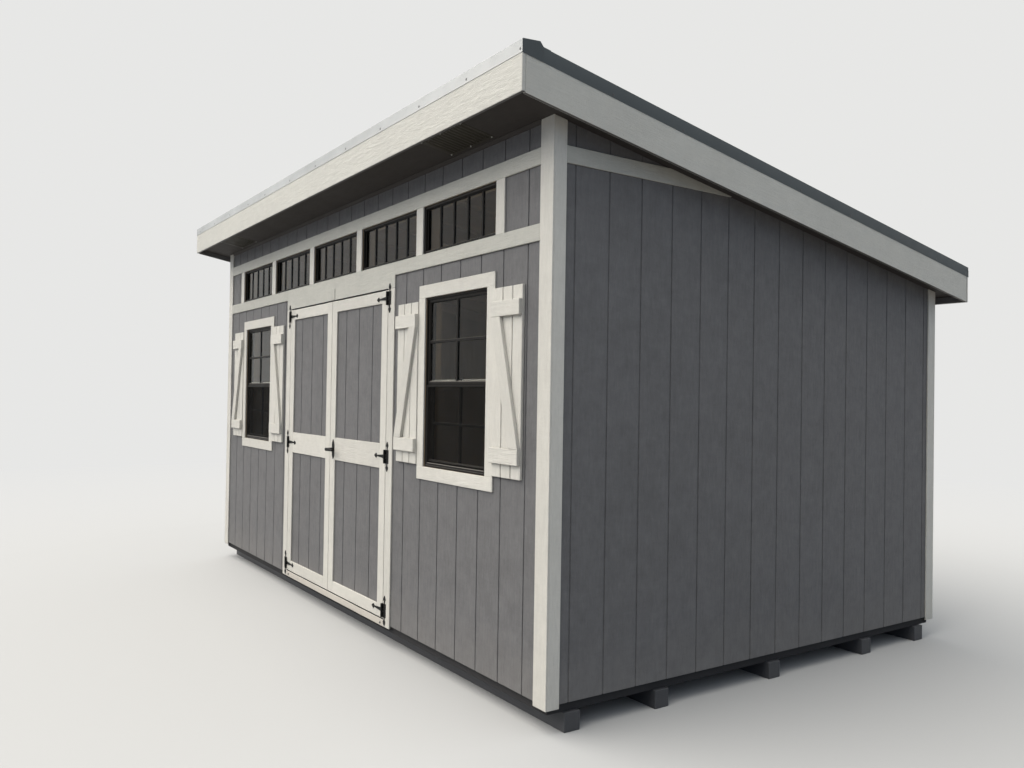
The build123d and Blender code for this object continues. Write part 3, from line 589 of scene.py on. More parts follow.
# A pale strip on each meeting rail: a painted highlight.
rail_highlight_vinyl = enamel("rail_highlight_vinyl", (0.55, 0.55, 0.53), rough=0.42, ripple=0.08, gloss=0.4)

window_glass, tree, shader = new_material("window_glass")
here = object_place(tree)
feed(tree, shader.inputs, {
    "Base Color": blend(tree, cloud(tree, here, 2.0), (0.60, 0.60, 0.56, 1), (0.68, 0.68, 0.64, 1)),
    "Roughness": cloud(tree, here, 6.0, 5.0, 0.7).spread(0.4, 0.75, 0.005, 0.05),
    "Transmission Weight": 1.0, "Specular IOR Level": 0.18, "IOR": 1.2})
print("materials so far:", len(bpy.data.materials))

# %% [markdown]
# The siding is a sheet with square-bottomed grooves every eight inches. Each wall is worked out as two
# sheets over one grid: u runs along the wall and z up it, and each sheet has a depth at every crossing.
# Where a depth jumps, as at the floor or a door rebate, the grid has the line twice, a hair apart, and the
# two fall together when doubles are merged. Cells inside an opening are left out, and the edge of what is
# left is closed.

# %% Walls
GROOVE_PITCH = 203.2 * MM
GROOVE_HALF, GROOVE_FLANK, GROOVE_DEPTH = 4.75 * MM, 1.25 * MM, 4.2 * MM
GROOVE_ROOM = 10 * MM       # no groove lies nearer than this to the end of a sheet
SIDING_T = 11 * MM
LINING_SEAM, NICK_HALF, NICK_DEPTH = 1220 * MM, 1.5 * MM, 2.0 * MM
HAIR = 2e-5
FLOOR_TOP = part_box("floor_deck")[1].z
back_low, back_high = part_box("back_wall")
front_low, front_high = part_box("front_wall_top")
WALL_T, SIDING_LOW = back_high.y - back_low.y, back_low.z
TALL = front_high.z + 10 * MM       # past the rafters' line, to which every height is held
siding_y, front_ends = -front_low.y, (front_low.x, front_high.x)
print("wall", round(WALL_T, 4), "floor", round(FLOOR_TOP, 4), "siding from", round(SIDING_LOW, 4))


def grooved(centres):
    """The depth of a grooved face: full at each groove's centre, falling to nothing over its flanks."""
    def depth(u, z):
        away = np.abs(u[..., None] - centres).min(axis=-1)
        return GROOVE_DEPTH * np.clip((GROOVE_HALF - away) / GROOVE_FLANK, 0, 1)
    return depth


def groove_lines(centres, low, high):
    """The four lines that bound the floor and flanks of each groove between two ends."""
    centres = centres[(centres > low + GROOVE_ROOM) & (centres < high - GROOVE_ROOM)]
    inner = GROOVE_HALF - GROOVE_FLANK
    return (centres[:, None] + [-GROOVE_HALF, -inner, inner, GROOVE_HALF]).ravel()


def seam_lines(low, high):
    """Both edges of every lining seam between two ends."""
    seams = np.arange(np.ceil(low / LINING_SEAM), np.floor(high / LINING_SEAM) + 1) * LINING_SEAM
    return np.concatenate([seams - NICK_HALF, seams + NICK_HALF])


def doubled(lines):
    """Each inner line twice: where it lies, and the same nudged to either side of it."""
    lie = np.repeat(np.unique(np.round(lines, 6)), 2)[1:-1]
    return lie, lie + np.tile([HAIR, -HAIR], len(lie) // 2)


def slab(us, zs, outer, inner, solid, place):
    """Two sheets over one grid, with the cells that are not solid left out and the edges closed."""
    (u, u_side), (z, z_side) = doubled(us), doubled(zs)
    U, Z = np.meshgrid(u, z, indexing="ij")
    US, ZS = np.meshgrid(u_side, z_side, indexing="ij")
    skins = np.stack([place(U, Z, outer(US, ZS)), place(U, Z, inner(US, ZS))])
    kept = solid((US[1:, 1:] + US[:-1, :-1]) / 2, (ZS[1:, 1:] + ZS[:-1, :-1]) / 2)
    index = np.arange(U.size).reshape(U.shape)
    cell = np.stack([index[:-1, :-1], index[1:, :-1], index[1:, 1:], index[:-1, 1:]], -1)[kept]
    padded = np.pad(kept, 1)
    on_u, on_z = padded[1:, 1:-1] != padded[:-1, 1:-1], padded[1:-1, 1:] != padded[1:-1, :-1]
    a = np.concatenate([index[:, :-1][on_u], index[:-1, :][on_z]])
    b = np.concatenate([index[:, 1:][on_u], index[1:, :][on_z]])
    edge = np.stack([a, b, b + U.size, a + U.size], -1)
    low = skins.reshape(-1, 3)[edge].mean(axis=1)[:, 2] < FLOOR_TOP
    wood = np.stack([np.stack([Z, U, np.zeros_like(U)], -1)] * 2)
    return part_of(skins, [cell, edge[low], cell[:, ::-1] + U.size, edge[~low]], wood, [0, 0, 1, 1], 0.5)


def inside(u, z, low_u, high_u, low_z, high_z):
    """True where a place lies in an upright rectangle."""
    return (u > low_u) & (u < high_u) & (z > low_z) & (z < high_z)


def whole(u, z):
    """A wall with no opening."""
    return np.ones_like(u, bool)


def wall_inner(u, z):
    """Depth of the inner face: the siding's back below the floor, above it the lining, nicked at seams."""
    from_seam = np.abs((u + LINING_SEAM / 2) % LINING_SEAM - LINING_SEAM / 2)
    return np.where(z < FLOOR_TOP, SIDING_T, WALL_T - NICK_DEPTH * (from_seam < NICK_HALF))


def on_wall(face, inward, side=False):
    """Turns u, z and a depth into a place under the rafters. On a side wall u is y, on the others x."""
    def place(u, z, depth):
        across = face + inward * depth
        x, y = (across, u) if side else (u, across)
        return np.stack([x, y, np.minimum(z, seat(y))], -1)
    return place


def wall(name, nodes, us, zs, outer, place, inner=wall_inner, solid=whole, body="shed"):
    """A grooved sheet and its inner face, in place of CAD walls or a leaf."""
    make_piece(name, [slab(us, zs, outer, inner, solid, place)], body, [siding_paint, lining],
               nodes)


# %% The front wall
REBATE_LAP, REBATE_DEPTH = 20 * MM, 17 * MM
front_grooves = 2281.5 * MM - GROOVE_PITCH * np.arange(24)
door_x = [corner.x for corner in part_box("door_threshold")]
door_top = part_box("front_wall_left")[1].z
stop_x, stop_z = (door_x[0] + REBATE_LAP, door_x[1] - REBATE_LAP), door_top - REBATE_LAP
holes = [(low[0], high[0], low[2], high[2]) for node in ("window_frames", "transom_frames")
         for low, high in map(extent, solids(node))]


def front_outer(u, z):
    """Grooves in the siding; behind the doorway's edge the face steps back to the stop for the leaves."""
    return np.where(inside(u, z, *door_x, 0, door_top), REBATE_DEPTH, grooved(front_grooves)(u, z))


def front_solid(u, z):
    """Everything but the doorway inside its stops, the windows and the transom lights."""
    kept = ~inside(u, z, *stop_x, 0, stop_z) & ~inside(u, z, *door_x, 0, FLOOR_TOP)
    for hole in holes:
        kept &= ~inside(u, z, *hole)
    return kept


plain_u = [*front_ends, *groove_lines(front_grooves, *front_ends), *seam_lines(*front_ends)]
front_u = [*plain_u, *door_x, *stop_x, *[v for hole in holes for v in hole[:2]]]
front_z = [SIDING_LOW, FLOOR_TOP, stop_z, door_top, TALL, *[v for hole in holes for v in hole[2:]]]
wall("front_siding", ["front_wall_left", "front_wall_right", "front_wall_top"], front_u, front_z, front_outer,
     on_wall(-siding_y, 1), solid=front_solid)

# %% [markdown]
# The back and the sides are the same sheet without openings. A side wall is cut along the roof: its grid
# runs past the slope and every height is held to the rafters' line.

# %% Back and side walls
plain_z = [SIDING_LOW, FLOOR_TOP, TALL]
wall("back_siding", ["back_wall"], plain_u, plain_z, grooved(front_grooves), on_wall(siding_y, -1))
side_grooves = -1415.5 * MM + GROOVE_PITCH * np.arange(15)
side_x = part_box("right_wall")[1].x
inner_y = siding_y - WALL_T


def side_inner(u, z):
    """The siding runs past the studs at both ends, where it covers the front and back walls."""
    return np.where(np.abs(u) > inner_y, SIDING_T, wall_inner(u, z))


side_u = [-siding_y, -inner_y, inner_y, siding_y, *groove_lines(side_grooves, -siding_y, siding_y),
          *seam_lines(-siding_y, siding_y)]
for side, name in ((-1, "left"), (1, "right")):
    wall(f"{name}_siding", [f"{name}_wall"], side_u, plain_z, grooved(side_grooves),
         on_wall(side * side_x, -side, side=True), side_inner)

# %% [markdown]
# Each door leaf is the same grooved sheet, flush with the wall, glued to a timber frame that shows behind it
# when the door stands open. The frame's stiles and rails are left at full depth and the fields between them
# are let in. A square hole lets the spindle through behind its plate.

# %% Door leaves
LEAF_STILE, LEAF_PLY, SPINDLE_HALF, MID_RAIL = 89 * MM, 16 * MM, 7 * MM, 967 * MM
leaf_grooves = 2 * MM + GROOVE_PITCH * np.arange(-4, 5)
handle_low, handle_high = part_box("handle_plate")
handle_x, handle_z = (handle_low.x + handle_high.x) / 2, (handle_low.z + handle_high.z) / 2
spindle = [v + off for v in (handle_x, handle_z) for off in (-SPINDLE_HALF, SPINDLE_HALF)]


def leaf_solid(u, z):
    """All but the hole for the spindle."""
    return ~inside(u, z, *spindle)


for side in ("left", "right"):
    low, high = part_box(f"{side}_door_leaf")
    block = frame_points(f"{side}_door_leaf")
    (x0, _, z0), (x1, _, z1) = extent(block[block[:, 1] > high.y - 0.1 * MM])
    mid_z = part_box(f"{side}_door_boards")[0].z + MID_RAIL
    fields = [(x0 + LEAF_STILE, x1 - LEAF_STILE, *ends) for ends in (
        (z0 + LEAF_STILE, mid_z - LEAF_STILE / 2), (mid_z + LEAF_STILE / 2, z1 - LEAF_STILE))]

    def leaf_inner(u, z):
        """Siding only at the rim, the frame's full depth inside it, and the fields let in."""
        depth = np.where(inside(u, z, x0, x1, z0, z1), high.y + siding_y, SIDING_T)
        for field in fields:
            depth = np.where(inside(u, z, *field), LEAF_PLY, depth)
        return depth

    leaf_u = [low.x, high.x, x0, x1, *fields[0][:2], *groove_lines(leaf_grooves, low.x, high.x)]
    leaf_z = [low.z, high.z, z0, z1, *fields[0][2:], *fields[1][2:]]
    if side == "right":
        leaf_u, leaf_z = leaf_u + spindle[:2], leaf_z + spindle[2:]
    wall(f"{side}_leaf", [f"{side}_door_leaf"], leaf_u, leaf_z, grooved(leaf_grooves), on_wall(-siding_y, 1),
         leaf_inner, leaf_solid, f"{side}_door")

# %% [markdown]
# The trim boards. Those that are plain in the CAD model become one bevelled board for each solid. The doors'
# boards are one solid there, so their stiles and rails are read from its levels.

# %% Trim boards
for node in ("front_back_corner_boards", "side_corner_boards", "door_jamb_boards", "transom_boards",
             "window_head_sill_boards", "window_side_boards"):
    make_piece(node.replace("_boards", "_trim"), boards_of(node), "shed", [trim_paint], [node])
# The head board's underside and lower front edge and the threshold's top take the dark second paint: painted
# shade in the gaps round the doors.
for name, node, coat, shaded in (("lower_band_trim", "lower_band", band_shade_paint, ()),
                                 ("head_trim", "door_head_board", band_shade_paint, (0, 7)),
                                 ("threshold_trim", "door_threshold", threshold_paint, (4,))):
    make_piece(name, boards_of(node, shaded=shaded), "shed", [coat, rim_paint], [node])

TAPER_OVER, TIP_CUT = 50 * MM, 6 * MM       # a deeper band piece is tapered, and its thin tip is cut off
band = []
for points in solids("upper_band"):
    low, high = extent(points)
    if high[1] - low[1] <= TAPER_OVER:
        band.append(board(points))
        continue
    shoulder = points[np.abs(points[:, 2] - high[2]) < SAME, 1].max() - low[1]
    band.append(plank(low, high - [0, TIP_CUT, 0], cuts=[shoulder], bottom=lambda y: low[2] + 0 * y,
                      top=lambda y: np.minimum(high[2], soffit_under(y))))
make_piece("upper_band_trim", band, "shed", [band_shade_paint], ["upper_band"])


def levels(points, axis, where=slice(None)):
    """The different values along one axis, in rising order, of the points that pass a test."""
    values = np.unique(np.round(points[where][:, axis], 5))
    return values[np.insert(np.diff(values) > 2 * SAME, 0, True)]


PLATE_ROOM = 20 * MM        # round the handle, where the boards' solid has corners of its own
for side in ("left", "right"):
    points = frame_points(f"{side}_door_boards")
    low, high = extent(points)
    away = np.hypot(points[:, 0] - handle_x, points[:, 2] - handle_z) > PLATE_ROOM
    xs, zs = levels(points, 0, away), levels(points, 2, away)
    # The stiles' top ends and the top rails' top and upper front edge take the dark second paint: painted
    # shade in the gap under the head board.
    parts = [plank((a, low[1], low[2]), (b, high[1], high[2]), shaded=(9,)) for a, b in (xs[:2], xs[-2:])]
    parts += [plank((xs[1], low[1], a), (xs[-2], high[1], b), shaded=(4, 5) if b == zs[-1] else ())
              for a, b in zip(zs[::2], zs[1::2])]
    make_piece(f"{side}_door_trim", parts, f"{side}_door", [trim_paint, rim_paint],
               [f"{side}_door_boards"])

# %% [markdown]
# Board-and-batten shutters: three upright boards with a gap between them, a batten across near each end, and
# a brace that climbs from one to the other. The brace is cut to the battens, so it is a board leaned over:
# each of its points moves sideways in proportion to its height.

# %% Shutters
BOARD_EASE, BATTEN_EASE = 2.2 * MM, 2 * MM


def leaned(part, low_z, high_z, shift):
    """Moves points sideways from nothing at the bottom to the whole shift at the top."""
    part["points"][:, 0] += shift * (part["points"][:, 2] - low_z) / (high_z - low_z)
    return part


def shutter(points):
    """The boards, battens and brace of one shutter, read from the levels of its CAD solid."""
    face, back = points[:, 1].min(), points[:, 1].max()
    board_face = levels(points, 1)[1]
    before, behind = (np.abs(points[:, 1] - y) < SAME for y in (face, back))
    xs, (z0, z1) = levels(points, 0, behind), levels(points, 2, behind)[[0, -1]]
    zs = levels(points, 2, before)
    parts = [plank((a, board_face, z0), (b, back, z1), ease=BOARD_EASE) for a, b in zip(xs[::2], xs[1::2])]
    parts += [plank((xs[0], face, a), (xs[-1], board_face, b), ease=BATTEN_EASE)
              for a, b in (zs[:2], zs[-2:])]
    foot, head = (levels(points, 0, before & (np.abs(points[:, 2] - z) < SAME)) for z in (zs[1], zs[-2]))
    foot, head = (x[:2] if x[1] - x[0] < x[2] - x[1] else x[1:] for x in (foot, head))
    brace = plank((foot[0], face, zs[1]), (foot[1], board_face, zs[-2]), ease=BATTEN_EASE)
    return parts + [leaned(brace, zs[1], zs[-2], head[0] - foot[0])]


for side in ("left", "right"):
    parts = [p for points in solids(f"{side}_window_shutters") for p in shutter(points)]
    make_piece(f"{side}_shutters", parts, "shed", [trim_paint], [f"{side}_window_shutters"])

# %% [markdown]
# The roof edge: wide fascia boards with a deep pressed grain. The eave boards stand plumb with their tops
# cut to the roof, and the rake boards lean along it, both of which the top and bottom lines of `board`
# already do. Their undersides and inner sides take the darker siding paint, as painted shade under the roof's
# edge.

# %% Fascias
for edge, axis in (("eave", 0), ("rake", 1)):
    parts = [board(points, ease=2 * MM, length_axis=axis,
                   shaded=(0, 2 if points[:, 1 - axis].mean() < 0 else 6))
             for points in solids(f"{edge}_fascias")]
    make_piece(f"{edge}_fascia_boards", parts, "shed", [fascia_paint, siding_paint],
               [f"{edge}_fascias"])

# %% [markdown]
# Ribbed roof sheets. The section across the roof is a height for each x: a trapezoid at every major rib and
# two low swellings between ribs, which keep the flats from drumming. It is carried down the slope, and its
# underside is the same line lowered by the sheet's thickness.

# %% Roof sheets
roof_low, roof_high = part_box("roof_boards")
SLOPE = float(roof_top(0.0) - roof_top(1.0))
SLANT = sqrt(1 + SLOPE ** 2)
RIB_PITCH, RIB_FOOT, RIB_CROWN, RIB_H, SHEET_T = (v * MM for v in (229, 64, 26, 21, 1.5))
MINOR_H, MINOR_W = 3.5 * MM, 30 * MM
SHEET_FROM, SHEET_SHORT = 40 * MM, 6 * MM       # how far a sheet stays from the high and the low edge
rib_xs = RIB_PITCH * np.arange(-11, 12)
roof_run = (roof_high.y - roof_low.y) * SLANT


def on_roof(x, down, up):
    """A place on the roof: x along it, a distance down the slope from the high edge, and up square to it."""
    y = roof_low.y + (down + up * SLOPE) / SLANT
    return np.stack([x + 0 * y, y + 0 * x, roof_top(roof_low.y) + (up - down * SLOPE) / SLANT + 0 * x], -1)


def sheet_height(x):
    """Major ribs as trapezoids, minor ribs as half waves between them."""
    away = np.abs(x[:, None] - rib_xs).min(axis=1)
    major = (RIB_H - SHEET_T) * np.clip((RIB_FOOT / 2 - away) / (RIB_FOOT / 2 - RIB_CROWN / 2), 0, 1)
    from_minor = np.abs(away - RIB_PITCH / 3)
    return major + MINOR_H * np.cos(np.clip(from_minor / (MINOR_W / 2), 0, 1) * pi / 2) ** 2


offsets = [-RIB_FOOT / 2, -RIB_CROWN / 2, RIB_CROWN / 2, RIB_FOOT / 2,
           *[c * RIB_PITCH / 3 + v for c in (-1, 1) for v in np.linspace(-MINOR_W / 2, MINOR_W / 2, 7)]]
sheet_x = np.unique(np.round([roof_low.x, roof_high.x, *(rib_xs[:, None] + offsets).ravel()], 6))
sheet_x = sheet_x[(sheet_x >= roof_low.x) & (sheet_x <= roof_high.x)]
upper = sheet_height(sheet_x) + SHEET_T
section_x = np.concatenate([sheet_x, sheet_x[::-1]])
section_up = np.concatenate([upper, upper[::-1] - SHEET_T])
stations = [on_roof(section_x, down, section_up) for down in (SHEET_FROM, roof_run - SHEET_SHORT)]
make_piece("roof_sheets", [carried(stations)], "shed", [roof_metal], ["roof_panels"])

# %% [markdown]
# Bent edge trims. Each is a strip of sheet folded along lines, so its section is a path given a thickness:
# every corner moves along the mitre of the two folds that meet there. The bottom edge is turned back on
# itself, as real trims are, which gives the thin shadow under them.

# %% Edge trims
TRIM_T, DRIP_T = 1.0 * MM, 0.6 * MM
LAP_BACK, STEP_BACK, CREST_BACK = 58 * MM, 18 * MM, 92 * MM
FACE_LOW = 2931.5 * MM


def thickened(path, thickness):
    """A closed outline round a path: the path, and the path again moved sideways along its mitres."""
    path = np.asarray(path, float)
    run = np.diff(path, axis=0)
    run /= np.linalg.norm(run, axis=1)[:, None]
    normal = np.column_stack([-run[:, 1], run[:, 0]])
    before, after = np.vstack([normal[:1], normal]), np.vstack([normal, normal[-1:]])
    mitre = (before + after) / (1 + np.sum(before * after, axis=1))[:, None]
    return np.vstack([path, (path + mitre * thickness)[::-1]])


def over_ribs(y, up):
    """Height at y of a place that lies a distance up, square to the roof, from the roof boards."""
    return float(roof_top(y) + up * SLANT)


flash_low, flash_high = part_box("eave_trims")
face_y, top_z, drip_y = flash_low.y + 1.4 * MM, flash_high.z, roof_high.y
crest_y, crown = flash_low.y + CREST_BACK, RIB_H + 0.3 * MM
lap_up = crown + 2.3 * TRIM_T
flashing_path = [(face_y + 4.5 * MM, FACE_LOW + 9 * MM), (face_y + 2.2 * MM, FACE_LOW + 1.5 * MM),
                 (flash_low.y, FACE_LOW + 0.4 * MM), (face_y, FACE_LOW + 7 * MM), (face_y, top_z - 13 * MM),
                 (face_y + 0.6 * MM, top_z - 9.4 * MM), (face_y + 3 * MM, top_z - 8 * MM),
                 (crest_y - 3 * MM, top_z - 0.6 * MM), (crest_y, top_z - 1 * MM),
                 *[(crest_y + back, over_ribs(crest_y + back, lap_up)) for back in (STEP_BACK, LAP_BACK)]]
flashing = strip(thickened(flashing_path, -TRIM_T), (flash_low.x + 1.2 * TRIM_T, flash_high.x - 1.2 * TRIM_T))
make_piece("high_edge_flashing", [flashing], "shed", [flashing_sheen_enamel], ["eave_trims"], smooth=40)

drip_low = float(slope_line(frame_points("eave_trims"), high=False)(flash_high.y))
drip_path = [(drip_y + 1.9 * MM, drip_low), (drip_y + 0.2 * MM, drip_low + 6 * MM),
             (drip_y + 0.2 * MM, over_ribs(drip_y, -1 * MM)),
             *[(drip_y - back, over_ribs(drip_y - back, 0.6 * MM)) for back in (2 * MM, 60 * MM)]]
drip = strip(thickened(drip_path, -DRIP_T), (flash_low.x, flash_high.x))
make_piece("low_edge_drip", [drip], "shed", [roof_metal], smooth=40)

# %% [markdown]
# The rake trim folds over the outermost rib and stops behind the flashing's crest. A flat tab closes the
# flashing's end, so that the corner is slate on the side and in front has the flashing's pale painted
# reflection.

# %% Rake trims
RAKE_LOW, RAKE_TOP = -41.3 * MM, crown + 1.1 * TRIM_T
edge_x = flash_high.x - 1.2 * TRIM_T
tab_y = (flash_low.y + 1 * MM, crest_y + STEP_BACK)
rake_path = [(edge_x - 2.2 * MM, RAKE_LOW + 9 * MM), (edge_x - 1.2 * MM, RAKE_LOW + 0.4 * MM),
             (edge_x + 0.3 * MM, RAKE_LOW), (edge_x, RAKE_LOW + 8 * MM), (edge_x, RAKE_TOP - 2.8 * MM),
             (edge_x - 0.8 * MM, RAKE_TOP - 0.8 * MM), (edge_x - 2.8 * MM, RAKE_TOP),
             (edge_x - 89 * MM, RAKE_TOP), (edge_x - 93 * MM, RAKE_TOP - 12 * MM)]
out, up = thickened(rake_path, TRIM_T).T
tab = [(tab_y[0], over_ribs(tab_y[0], RAKE_LOW)), (tab_y[0], top_z - 9.5 * MM), (crest_y, top_z - 1 * MM),
       (tab_y[1], over_ribs(tab_y[1], RAKE_TOP)), (tab_y[1], over_ribs(tab_y[1], RAKE_LOW))]
rakes = []
for side in (-1, 1):
    rakes.append(carried([np.column_stack([side * out, np.full(len(out), y), roof_top(y) + up * SLANT])
                          for y in (crest_y + 6 * MM, roof_high.y)]))
    rakes.append(strip(tab, [side * (edge_x + over) for over in (0.1 * MM, 1.1 * MM)]))
make_piece("rake_edge_trims", rakes, "shed", [roof_metal], ["rake_trims"], smooth=40)

# %% [markdown]
# Sheet-metal screws: a washer flange with a low domed head, turned about the line it was driven along. They
# stand beside each rib on the roof, along the flashing and the rake trims, and round the soffit vents.

# %% Screws
def screw(place, axis, flange=7 * MM, head=4.5 * MM, height=2.4 * MM):
    """A flange that falls to its rim, and a head with a rounded top, both from one profile."""
    return turned([(flange, 0), (0.93 * flange, 0.25 * height), (head, 0.35 * height), (head, 0.8 * height),
                   (0.6 * head, height)], place, axis)


UP_FROM_ROOF, FROM_RIB = (0.0, SLOPE, 1.0), 46 * MM
screw_rows = np.linspace(0.22, roof_run - 0.08, 7)
make_piece("roof_screws", [screw(on_roof(x + FROM_RIB, down, SHEET_T), UP_FROM_ROOF)
                           for x in rib_xs[:-1] for down in screw_rows],
           "shed", [dark_screw], smooth=30)

flashing_xs = np.array([2595, 2162, 1704, 1257, 786, 305, -161, -686, -1088, -1574, -2030, -2490]) * MM
rake_ys = [-1320 * MM + 440 * MM * k for k in range(7)] + [1660 * MM]
edge_screws = [screw((x, face_y, 2950 * MM), (0, -1, 0), height=1.3 * MM) for x in flashing_xs]
edge_screws += [screw((side * edge_x, y, over_ribs(y, -28 * MM)), (side, 0, 0), height=1.1 * MM)
                for side in (-1, 1) for y in rake_ys]
make_piece("edge_trim_screws", edge_screws, "shed", [dark_screw], smooth=30)

vent_screws = []
for points in solids("soffit_vents"):
    low, high = extent(points)
    under = slope_line(points, high=False)
    for x in np.linspace(low[0] + 9 * MM, high[0] - 9 * MM, 3):
        for y in (low[1] + 10 * MM, high[1] - 10 * MM):
            vent_screws.append(screw((x, y, float(under(y))), (0, -SLOPE, -1), 5.6 * MM, 4.0 * MM, 5.5 * MM))
make_piece("vent_screws", vent_screws, "shed", [screw_metal], smooth=30)

# %% [markdown]
# Under the front soffit a small moulding covers the joint with the siding, between the corner boards. Above
# the doors, a painted keeper plate for the top bolt sits on the head board, and a black strip along its lower
# edge paints in the shade of the gap above the doors.

# %% Moulding and keeper plate
COVE = np.array([(1, 1), (-16, 1), (-16, -4), (-11, -7), (-6, -13), (-4, -17), (1, -17)]) * MM
corners = [extent(p) for p in solids("front_back_corner_boards") if p[:, 1].max() < 0]
cove_x = (max(high[0] for _, high in corners if high[0] < 0),
          min(low[0] for low, _ in corners if low[0] > 0))
cove = strip([(dy - siding_y, soffit_under(dy - siding_y) + dz) for dy, dz in COVE], cove_x)
make_piece("soffit_moulding", [cove], "shed", [soffit_paint])
head_low, head_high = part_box("door_head_board")
keeper = plank((-46 * MM, head_low.y - 3.5 * MM, head_low.z + 6 * MM),
               (20 * MM, head_low.y, head_low.z + 80 * MM))
make_piece("bolt_keeper", [keeper], "shed", [band_shade_paint])
gap_shade_strip = plank((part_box("left_door_leaf")[0].x, head_low.y - 0.8 * MM, head_low.z),
               (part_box("right_door_leaf")[1].x, head_high.y, head_low.z + 3 * MM), ease=0.4 * MM)
make_piece("head_gap_shade_strip", [gap_shade_strip], "shed", [black_metal])

# %% [markdown]
# Small fixings at the doors: pan-head screws in the hinges, which turn with the leaf where they sit on a
# strap, and a bolt at each end of the threshold.

# %% Hinge screws and threshold bolts
plate_y, threshold_y = handle_low.y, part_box("door_threshold")[0].y
PLATE_IN, PLATE_SCREWS, STRAP_SCREWS = 17 * MM, (-28 * MM, 0, 28 * MM), (19 * MM, 124 * MM)


def pan_heads(places, body, name, flange=4.2 * MM):
    """Low round heads on the hinges' outer faces."""
    heads = [screw((x, plate_y, z), (0, -1, 0), flange, 0.8 * flange, 1.8 * MM) for x, z in places]
    make_piece(name, heads, body, [black_metal], smooth=30)


plates = solids("hinge_jamb_plates")
hinge_zs = sorted({round(float(p[:, 2].min() + p[:, 2].max()) / 2, 4) for p in plates})
jamb_xs = (plates[0][:, 0].min() + PLATE_IN, plates[-1][:, 0].max() - PLATE_IN)
pan_heads([(x, z + dz) for x in jamb_xs for z in hinge_zs for dz in PLATE_SCREWS], "shed",
          "jamb_plate_screws")
for side, inward in (("left", 1), ("right", -1)):
    axis_x = next(j["pos_m"][0] for j in frame["joints"] if j["name"] == f"{side}_door_hinge")
    pan_heads([(axis_x + inward * reach, z) for z in hinge_zs for reach in STRAP_SCREWS], f"{side}_door",
              f"{side}_strap_screws", 3.4 * MM)
bolts = [screw((x, threshold_y, z), (0, -1, 0), 9 * MM, 6.5 * MM, 4 * MM) for x, z in (
    (-790 * MM, 132 * MM), (806 * MM, 131 * MM))]
make_piece("threshold_bolts", bolts, "shed", [dark_screw], smooth=30)

# %% [markdown]
# The windows. `framed` carries a profile round an upright rectangle, mitred at the corners: glazing beads
# and the screens' rims are made with it. `rods` makes many square rods at once, from arrays of their low and
# high corners: each wire of the insect screens at its real pitch of 1.6 mm.

# %% Frames and rods
def framed(low, high, profile):
    """A closed profile of (inset, depth) pairs carried round a rectangle from its low to its high corner."""
    profile = np.asarray(profile, float)
    corner = np.array([[0, 0], [1, 0], [1, 1], [0, 1]])
    inward = 1 - 2 * corner
    spots = np.empty((4, len(profile), 3))
    spots[..., 0] = np.where(corner[:, :1], high[0], low[0]) + inward[:, :1] * profile[:, 0]
    spots[..., 1] = low[1] + profile[:, 1]
    spots[..., 2] = np.where(corner[:, 1:], high[2], low[2]) + inward[:, 1:] * profile[:, 0]
    index = np.arange(4 * len(profile)).reshape(4, -1)
    beside = np.roll(index, -1, axis=1)
    quads = np.stack([index, beside, np.roll(beside, -1, axis=0), np.roll(index, -1, axis=0)], -1)
    return part_of(spots, [quads.reshape(-1, 4)])


def rods(lows, highs):
    """A square rod for each pair of corners."""
    sides = np.array([[0, 1, 3, 2], [4, 6, 7, 5], [0, 4, 5, 1], [2, 3, 7, 6], [0, 2, 6, 4], [1, 5, 7, 3]])
    faces = np.arange(len(lows))[:, None, None] * 8 + sides
    return part_of(box_points(lows, highs), [faces.reshape(-1, 4)])


BAR_W, BAR_T, BEAD = 15 * MM, 5 * MM, 5 * MM
BAR_STEP = 0.4 * MM         # upright bars stand this much lower than those that cross them
BEAD_PROFILE = [(0, -BEAD), (0.25 * BEAD, -BEAD), (BEAD, -0.25 * BEAD), (BEAD, 0), (0, 0)]


def pane_parts(low, high, across, up):
    """Bars on both faces of a pane, at the places given along it and up it, and a bead round its outside."""
    parts = [framed(low, high, BEAD_PROFILE)]
    for y0, y1, lower in ((low[1] - BAR_T, low[1], (BAR_STEP, 0)),
                          (high[1], high[1] + BAR_T, (0, -BAR_STEP))):
        parts += [plank((x - BAR_W / 2, y0 + lower[0], low[2]), (x + BAR_W / 2, y1 + lower[1], high[2]))
                  for x in across]
        parts += [plank((low[0], y0, z - BAR_W / 2), (high[0], y1, z + BAR_W / 2)) for z in up]
    return parts


# %% Transom bars and window bars
bars = [p for low, high in map(extent, solids("transom_glass"))
        for p in pane_parts(low, high, np.linspace(low[0], high[0], 6)[1:-1], ())]
make_piece("transom_bars", bars, "shed", [window_vinyl])
bars = [p for points in solids("window_glass") for p in pane_parts(
    *extent(points), [points[:, 0].mean()], [(points[:, 2].min() + points[:, 2].max()) / 2])]
make_piece("window_bars", bars, "shed", [window_vinyl])

# %% [markdown]
# Outside the lower sash of each window stand a screen, in the track of the upper sash, and a stepped sill
# behind its foot. Along the lower sash's meeting rail runs a pale strip, a painted highlight of the light
# from above, with the catch in the middle.

